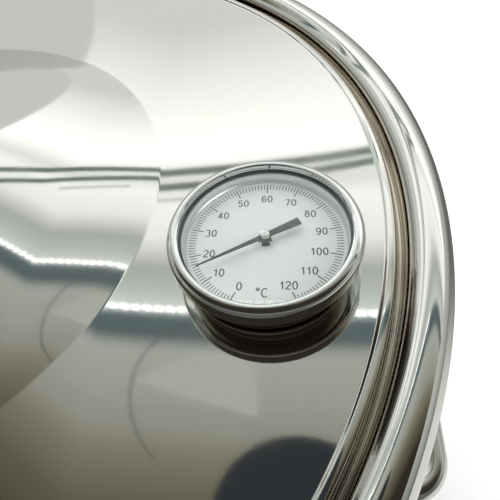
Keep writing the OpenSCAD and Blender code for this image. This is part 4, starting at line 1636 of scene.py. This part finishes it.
class Studio:
    """A pale floor, soft lights, a shaded ceiling with its cards, and the camera.

    Lengths are in metres. The ceiling hangs at height over the lid. Its bands and the lamp row
    swing away past swing_from, by swing over a stretch of swing_over. The lamps start at
    lamp_start and repeat every lamp_step. The camera's angles are its azimuth, elevation and roll.
    """

    height: float = 1.0
    swing: float = 0.34
    swing_from: float = 0.38
    swing_over: float = 0.6
    lamps: int = 48
    lamp_start: float = 0.31
    lamp_step: float = 0.0275
    lamp_half: float = 0.011
    lamp_row: float = 0.529
    lamp_deep: float = 0.016
    camera_lens: float = 35.08
    camera_angles: tuple[float, float, float] = (9.79, 52.62, 8.74)
    camera_at: tuple[float, float, float] = (0.14288, -0.10486, 0.45827)

    def build(self, places: Places) -> None:
        """Sets out the studio.

        Args:
            places: Places from the frame.
        """
        self.level = places.lid_plate + self.height
        self.floor()
        self.world()
        self.ceiling()
        self.cards()
        self.lights()
        self.camera()
        view = bpy.context.scene.view_settings
        view.view_transform = "Standard"
        view.look = "None"

    def floor(self) -> None:
        """Lays the floor, which mirrored surfaces see in soft bright and dark sides."""
        clear_selection()
        bpy.ops.mesh.primitive_plane_add(size=9, location=(0, 0, 0))
        floor = bpy.context.active_object
        floor.name = "floor"
        material, s, shader = open_material("floor_paint")
        vector = Place().vector(s)
        tone = s.spread(s.noise(vector, 9.0, 3.0), 0.86, 0.9)
        colour = s.add("ShaderNodeCombineColor", {0: tone, 1: tone, 2: tone})
        s.tree.links.new(colour.outputs[0], shader.inputs["Base Color"])
        shader.inputs["Roughness"].default_value = 0.7
        shader.inputs["Specular IOR Level"].default_value = 0.2
        room = s.add("ShaderNodeSeparateXYZ", {0: vector})
        bearing = s.math("ARCTAN2", room.outputs[1], room.outputs[0])
        bright_sides, turned_by = 3.0, 0.9
        band = s.math("COSINE", s.math("ADD", s.math("MULTIPLY", bearing, bright_sides), turned_by))
        shade = s.add("ShaderNodeMapRange", {0: band, 1: -0.7, 2: 0.9, 3: 0.16, 4: 0.78},
                      interpolation_type="SMOOTHSTEP").outputs[0]
        warm = s.add("ShaderNodeCombineColor", {0: shade, 1: s.math("MULTIPLY", shade, 0.985),
                                                2: s.math("MULTIPLY", shade, 0.94)})
        glow = s.add("ShaderNodeEmission", {"Color": warm.outputs[0], "Strength": 1.0})
        mirrored = s.add("ShaderNodeLightPath").outputs["Is Glossy Ray"]
        mix = s.add("ShaderNodeMixShader", {0: mirrored, 1: shader.outputs[0], 2: glow.outputs[0]})
        out = next(n for n in material.node_tree.nodes if n.type == "OUTPUT_MATERIAL")
        s.tree.links.new(mix.outputs[0], out.inputs[0])
        floor.data.materials.append(material)

    def world(self) -> None:
        """Sets a pale room for the camera and a graded one for reflections."""
        world = bpy.data.worlds.new("room")
        bpy.context.scene.world = world
        world.use_nodes = True
        s = NodeSheet(world.node_tree)
        world.node_tree.nodes.clear()
        toward = s.add("ShaderNodeSeparateXYZ", {0: s.add("ShaderNodeTexCoord").outputs["Generated"]})
        up = toward.outputs[2]
        ramp = s.add("ShaderNodeValToRGB", {0: up})
        stops = [(0.0, (0.28, 0.275, 0.25)), (0.12, (0.42, 0.43, 0.40)), (0.3, (0.5, 0.52, 0.49)),
                 (0.55, (0.62, 0.62, 0.58)), (1.0, (0.8, 0.8, 0.78))]
        elements = ramp.color_ramp.elements
        while len(elements) < len(stops):
            elements.new(0.5)
        for element, (at, colour) in zip(elements, stops):
            element.position, element.color = at, (*colour, 1)
        dim = s.add("ShaderNodeMapRange", {0: toward.outputs[1], 1: -0.6, 2: 0.15, 3: 0.3, 4: 1.0},
                    interpolation_type="SMOOTHSTEP")
        room = s.add("ShaderNodeBackground", {"Color": ramp.outputs[0], "Strength": dim.outputs[0]})
        pale = s.add("ShaderNodeBackground", {"Color": (0.93, 0.935, 0.93, 1), "Strength": 1.0})
        seen = s.add("ShaderNodeLightPath").outputs["Is Camera Ray"]
        mix = s.add("ShaderNodeMixShader", {0: seen, 1: room.outputs[0], 2: pale.outputs[0]})
        s.add("ShaderNodeOutputWorld", {0: mix.outputs[0]})

    def ceiling(self) -> None:
        """Hangs the ceiling, shaded from dark over the tap to bright beyond the kettle."""
        bands = [(-1.5, (0.03, 0.025, 0.02)), (-0.12, (0.035, 0.028, 0.022)), (0.08, (0.13, 0.12, 0.085)),
                 (0.19, (0.24, 0.225, 0.17)), (0.25, (0.33, 0.33, 0.28)), (0.34, (0.40, 0.41, 0.37)),
                 (0.43, (0.43, 0.45, 0.41)),
                 (0.47, (0.11, 0.145, 0.15)), (0.522, (0.11, 0.155, 0.165)), (0.555, (0.70, 0.74, 0.70)),
                 (0.60, (0.56, 0.60, 0.56)), (0.67, (0.46, 0.49, 0.46)), (0.78, (1.0, 1.02, 0.98)),
                 (0.93, (1.15, 1.16, 1.13)), (1.0, (0.9, 0.92, 0.88)), (1.15, (1.4, 1.4, 1.36)),
                 (1.6, (1.0, 1.0, 0.97)), (1.85, (0.75, 0.76, 0.73))]
        first, last = -1.5, 2.5
        x0, x1 = -2.2, 2.2
        clear_selection()
        bpy.ops.mesh.primitive_plane_add(size=1)
        sheet = bpy.context.active_object
        sheet.name = "ceiling"
        middle = Matrix.Translation(((x0 + x1) / 2, (first + last) / 2, self.level))
        settle(sheet, middle @ Matrix.Diagonal((x1 - x0, last - first, 1, 1)))
        material = bpy.data.materials.new("ceiling_shade")
        material.use_nodes = True
        material.node_tree.nodes.clear()
        s = NodeSheet(material.node_tree)
        spot = s.add("ShaderNodeSeparateXYZ", {0: s.add("ShaderNodeTexCoord").outputs["Object"]})
        swing = s.add("ShaderNodeMapRange", {0: spot.outputs[0], 1: -self.swing_from,
                                             2: -self.swing_from - self.swing_over, 3: 0.0, 4: self.swing})
        along = s.math("SUBTRACT", spot.outputs[1], swing.outputs[0])
        share = s.add("ShaderNodeMapRange", {0: along, 1: first, 2: last, 3: 0.0, 4: 1.0})
        ramp = s.add("ShaderNodeValToRGB", {0: share.outputs[0]})
        elements = ramp.color_ramp.elements
        while len(elements) < len(bands):
            elements.new(0.5)
        for element, (at, colour) in zip(elements, bands):
            element.position = (at - first) / (last - first)
            element.color = (*colour, 1)
        glow = s.add("ShaderNodeEmission", {"Color": ramp.outputs[0], "Strength": 1.0})
        s.add("ShaderNodeOutputMaterial", {0: glow.outputs[0]})
        sheet.data.materials.append(material)
        sheet.visible_camera = False
        sheet.visible_shadow = False
        sheet.visible_diffuse = False

    def cards(self) -> None:
        """Hangs the lamp row, the window's frame, the dark disc and the paler panels overhead."""
        frame_green, lamp = (0.11, 0.15, 0.13), (2.2, 2.25, 2.2)
        cards = [
            Card("frame_bar_far", ribbon([(-1.6, 1.2), (-0.9, 1.06), (-0.5, 1.03), (-0.304, 1.044),
                                          (0.305, 1.094), (0.325, 1.105), (0.336, 1.13), (0.338, 1.26)],
                                         0.034), frame_green, 0.01),
            Card("frame_bar_near", ribbon([(-1.6, 1.12), (-0.9, 0.98), (-0.5, 0.955), (-0.293, 0.976),
                                           (0.315, 1.05), (0.332, 1.06), (0.347, 1.088), (0.349, 1.14)],
                                          0.03), frame_green, 0.01),
            Card("sill_line", ribbon([(-0.42, 0.905), (-0.294, 0.919), (-0.15, 0.937)], 0.012),
                 (0.5, 0.48, 0.44), 0.01),
            Card("wall_panel", ((-0.28, 0.345), (-0.003, 0.282), (-0.011, 0.421), (-0.14, 0.434)),
                 (0.47, 0.48, 0.43), 0.005),
            Card("shade_wedge", ((0.09, 1.76), (0.155, 1.755), (0.27, 1.56), (0.322, 1.42), (0.22, 1.56)),
                 (0.3, 0.315, 0.3), 0.012),
            Card("dark_disc", ring_points((0.080, 0.07), 0.175), (0.03, 0.035, 0.04), 0.012),
            Card("lamp_tail", ribbon([(0.305, 0.537), (0.318, 0.53), (0.322, 0.499), (0.296, 0.397),
                                      (0.262, 0.3)], 0.006), (1.0, 1.0, 0.92), 0.012),
            Card("round_shade", ring_points((-1.5, 1.85), 0.74), (0.66, 0.68, 0.65), 0.012),
        ]
        arc = ring_points((-0.094, 0.322), 0.187)[15:47]
        cards.append(Card("reflector_rim", ribbon(list(arc), 0.005), (0.12, 0.13, 0.11), 0.014))
        for i in range(self.lamps):
            x = self.lamp_start - i * self.lamp_step
            y = self.lamp_row + self.lift(x)
            box = strip(x - self.lamp_half, x + self.lamp_half, y, y + self.lamp_deep)
            cards.append(Card(f"lamp_{i}", box, lamp, 0.01))
        for card in cards:
            card.hang(self.level)

    def lift(self, x: float) -> float:
        """Returns how far the lamp row swings away beyond the kettle's far side at x."""
        share = min(max((-self.swing_from - x) / self.swing_over, 0.0), 1.0)
        return self.swing * share

    def lights(self) -> None:
        """Adds the soft lights that fall on the floor and on the printed and matt pieces."""
        for name, at, size, power in (("top_light", (-0.3, 0.5, 1.9), 1.4, 24.0),
                                      ("side_light", (1.5, -0.6, 1.2), 1.2, 14.0),
                                      ("far_light", (-0.6, 1.6, 1.3), 1.2, 14.0)):
            lamp = bpy.data.lights.new(name, "AREA")
            lamp.energy, lamp.size = power, size
            obj = bpy.data.objects.new(name, lamp)
            obj.location = at
            aim = Vector((0, 0, 0.2)) - Vector(at)
            obj.rotation_euler = aim.to_track_quat("-Z", "Y").to_euler()
            obj.visible_glossy = False
            bpy.context.scene.collection.objects.link(obj)

    def camera(self) -> None:
        """Aims the camera over the tap side at the right part of the lid."""
        azimuth, elevation, roll = (math.radians(angle) for angle in self.camera_angles)
        back = Vector((math.sin(azimuth) * math.cos(elevation), -math.cos(azimuth) * math.cos(elevation),
                       math.sin(elevation)))
        right = Vector((math.cos(azimuth), math.sin(azimuth), 0))
        down = -back.cross(right)
        side = math.cos(roll) * right + math.sin(roll) * down
        above = -(-math.sin(roll) * right + math.cos(roll) * down)
        lens = bpy.data.cameras.new("camera")
        lens.lens, lens.sensor_width = self.camera_lens, 36.0
        lens.clip_start, lens.clip_end = 0.01, 50.0
        camera = bpy.data.objects.new("camera", lens)
        turn = Matrix((side, above, back)).transposed().to_4x4()
        camera.matrix_world = Matrix.Translation(self.camera_at) @ turn
        bpy.context.scene.collection.objects.link(camera)
        bpy.context.scene.camera = camera


def main() -> None:
    """Builds the kettle and the studio, in order."""
    logging.basicConfig(level=logging.INFO, format="%(name)s: %(message)s")
    places = Places.read()
    shelf = Shelf(places)
    Studio().build(places)
    Lid(places, shelf).build(LidSizes())
    Thermometer(places, shelf).build(DialSizes())
    Pot(places, shelf).build(PotSizes())
    Tap(places, shelf).build()
    for node in frame["nodes"]:
        shelf.dress_node(node)


if __name__ == "__main__":
    main()
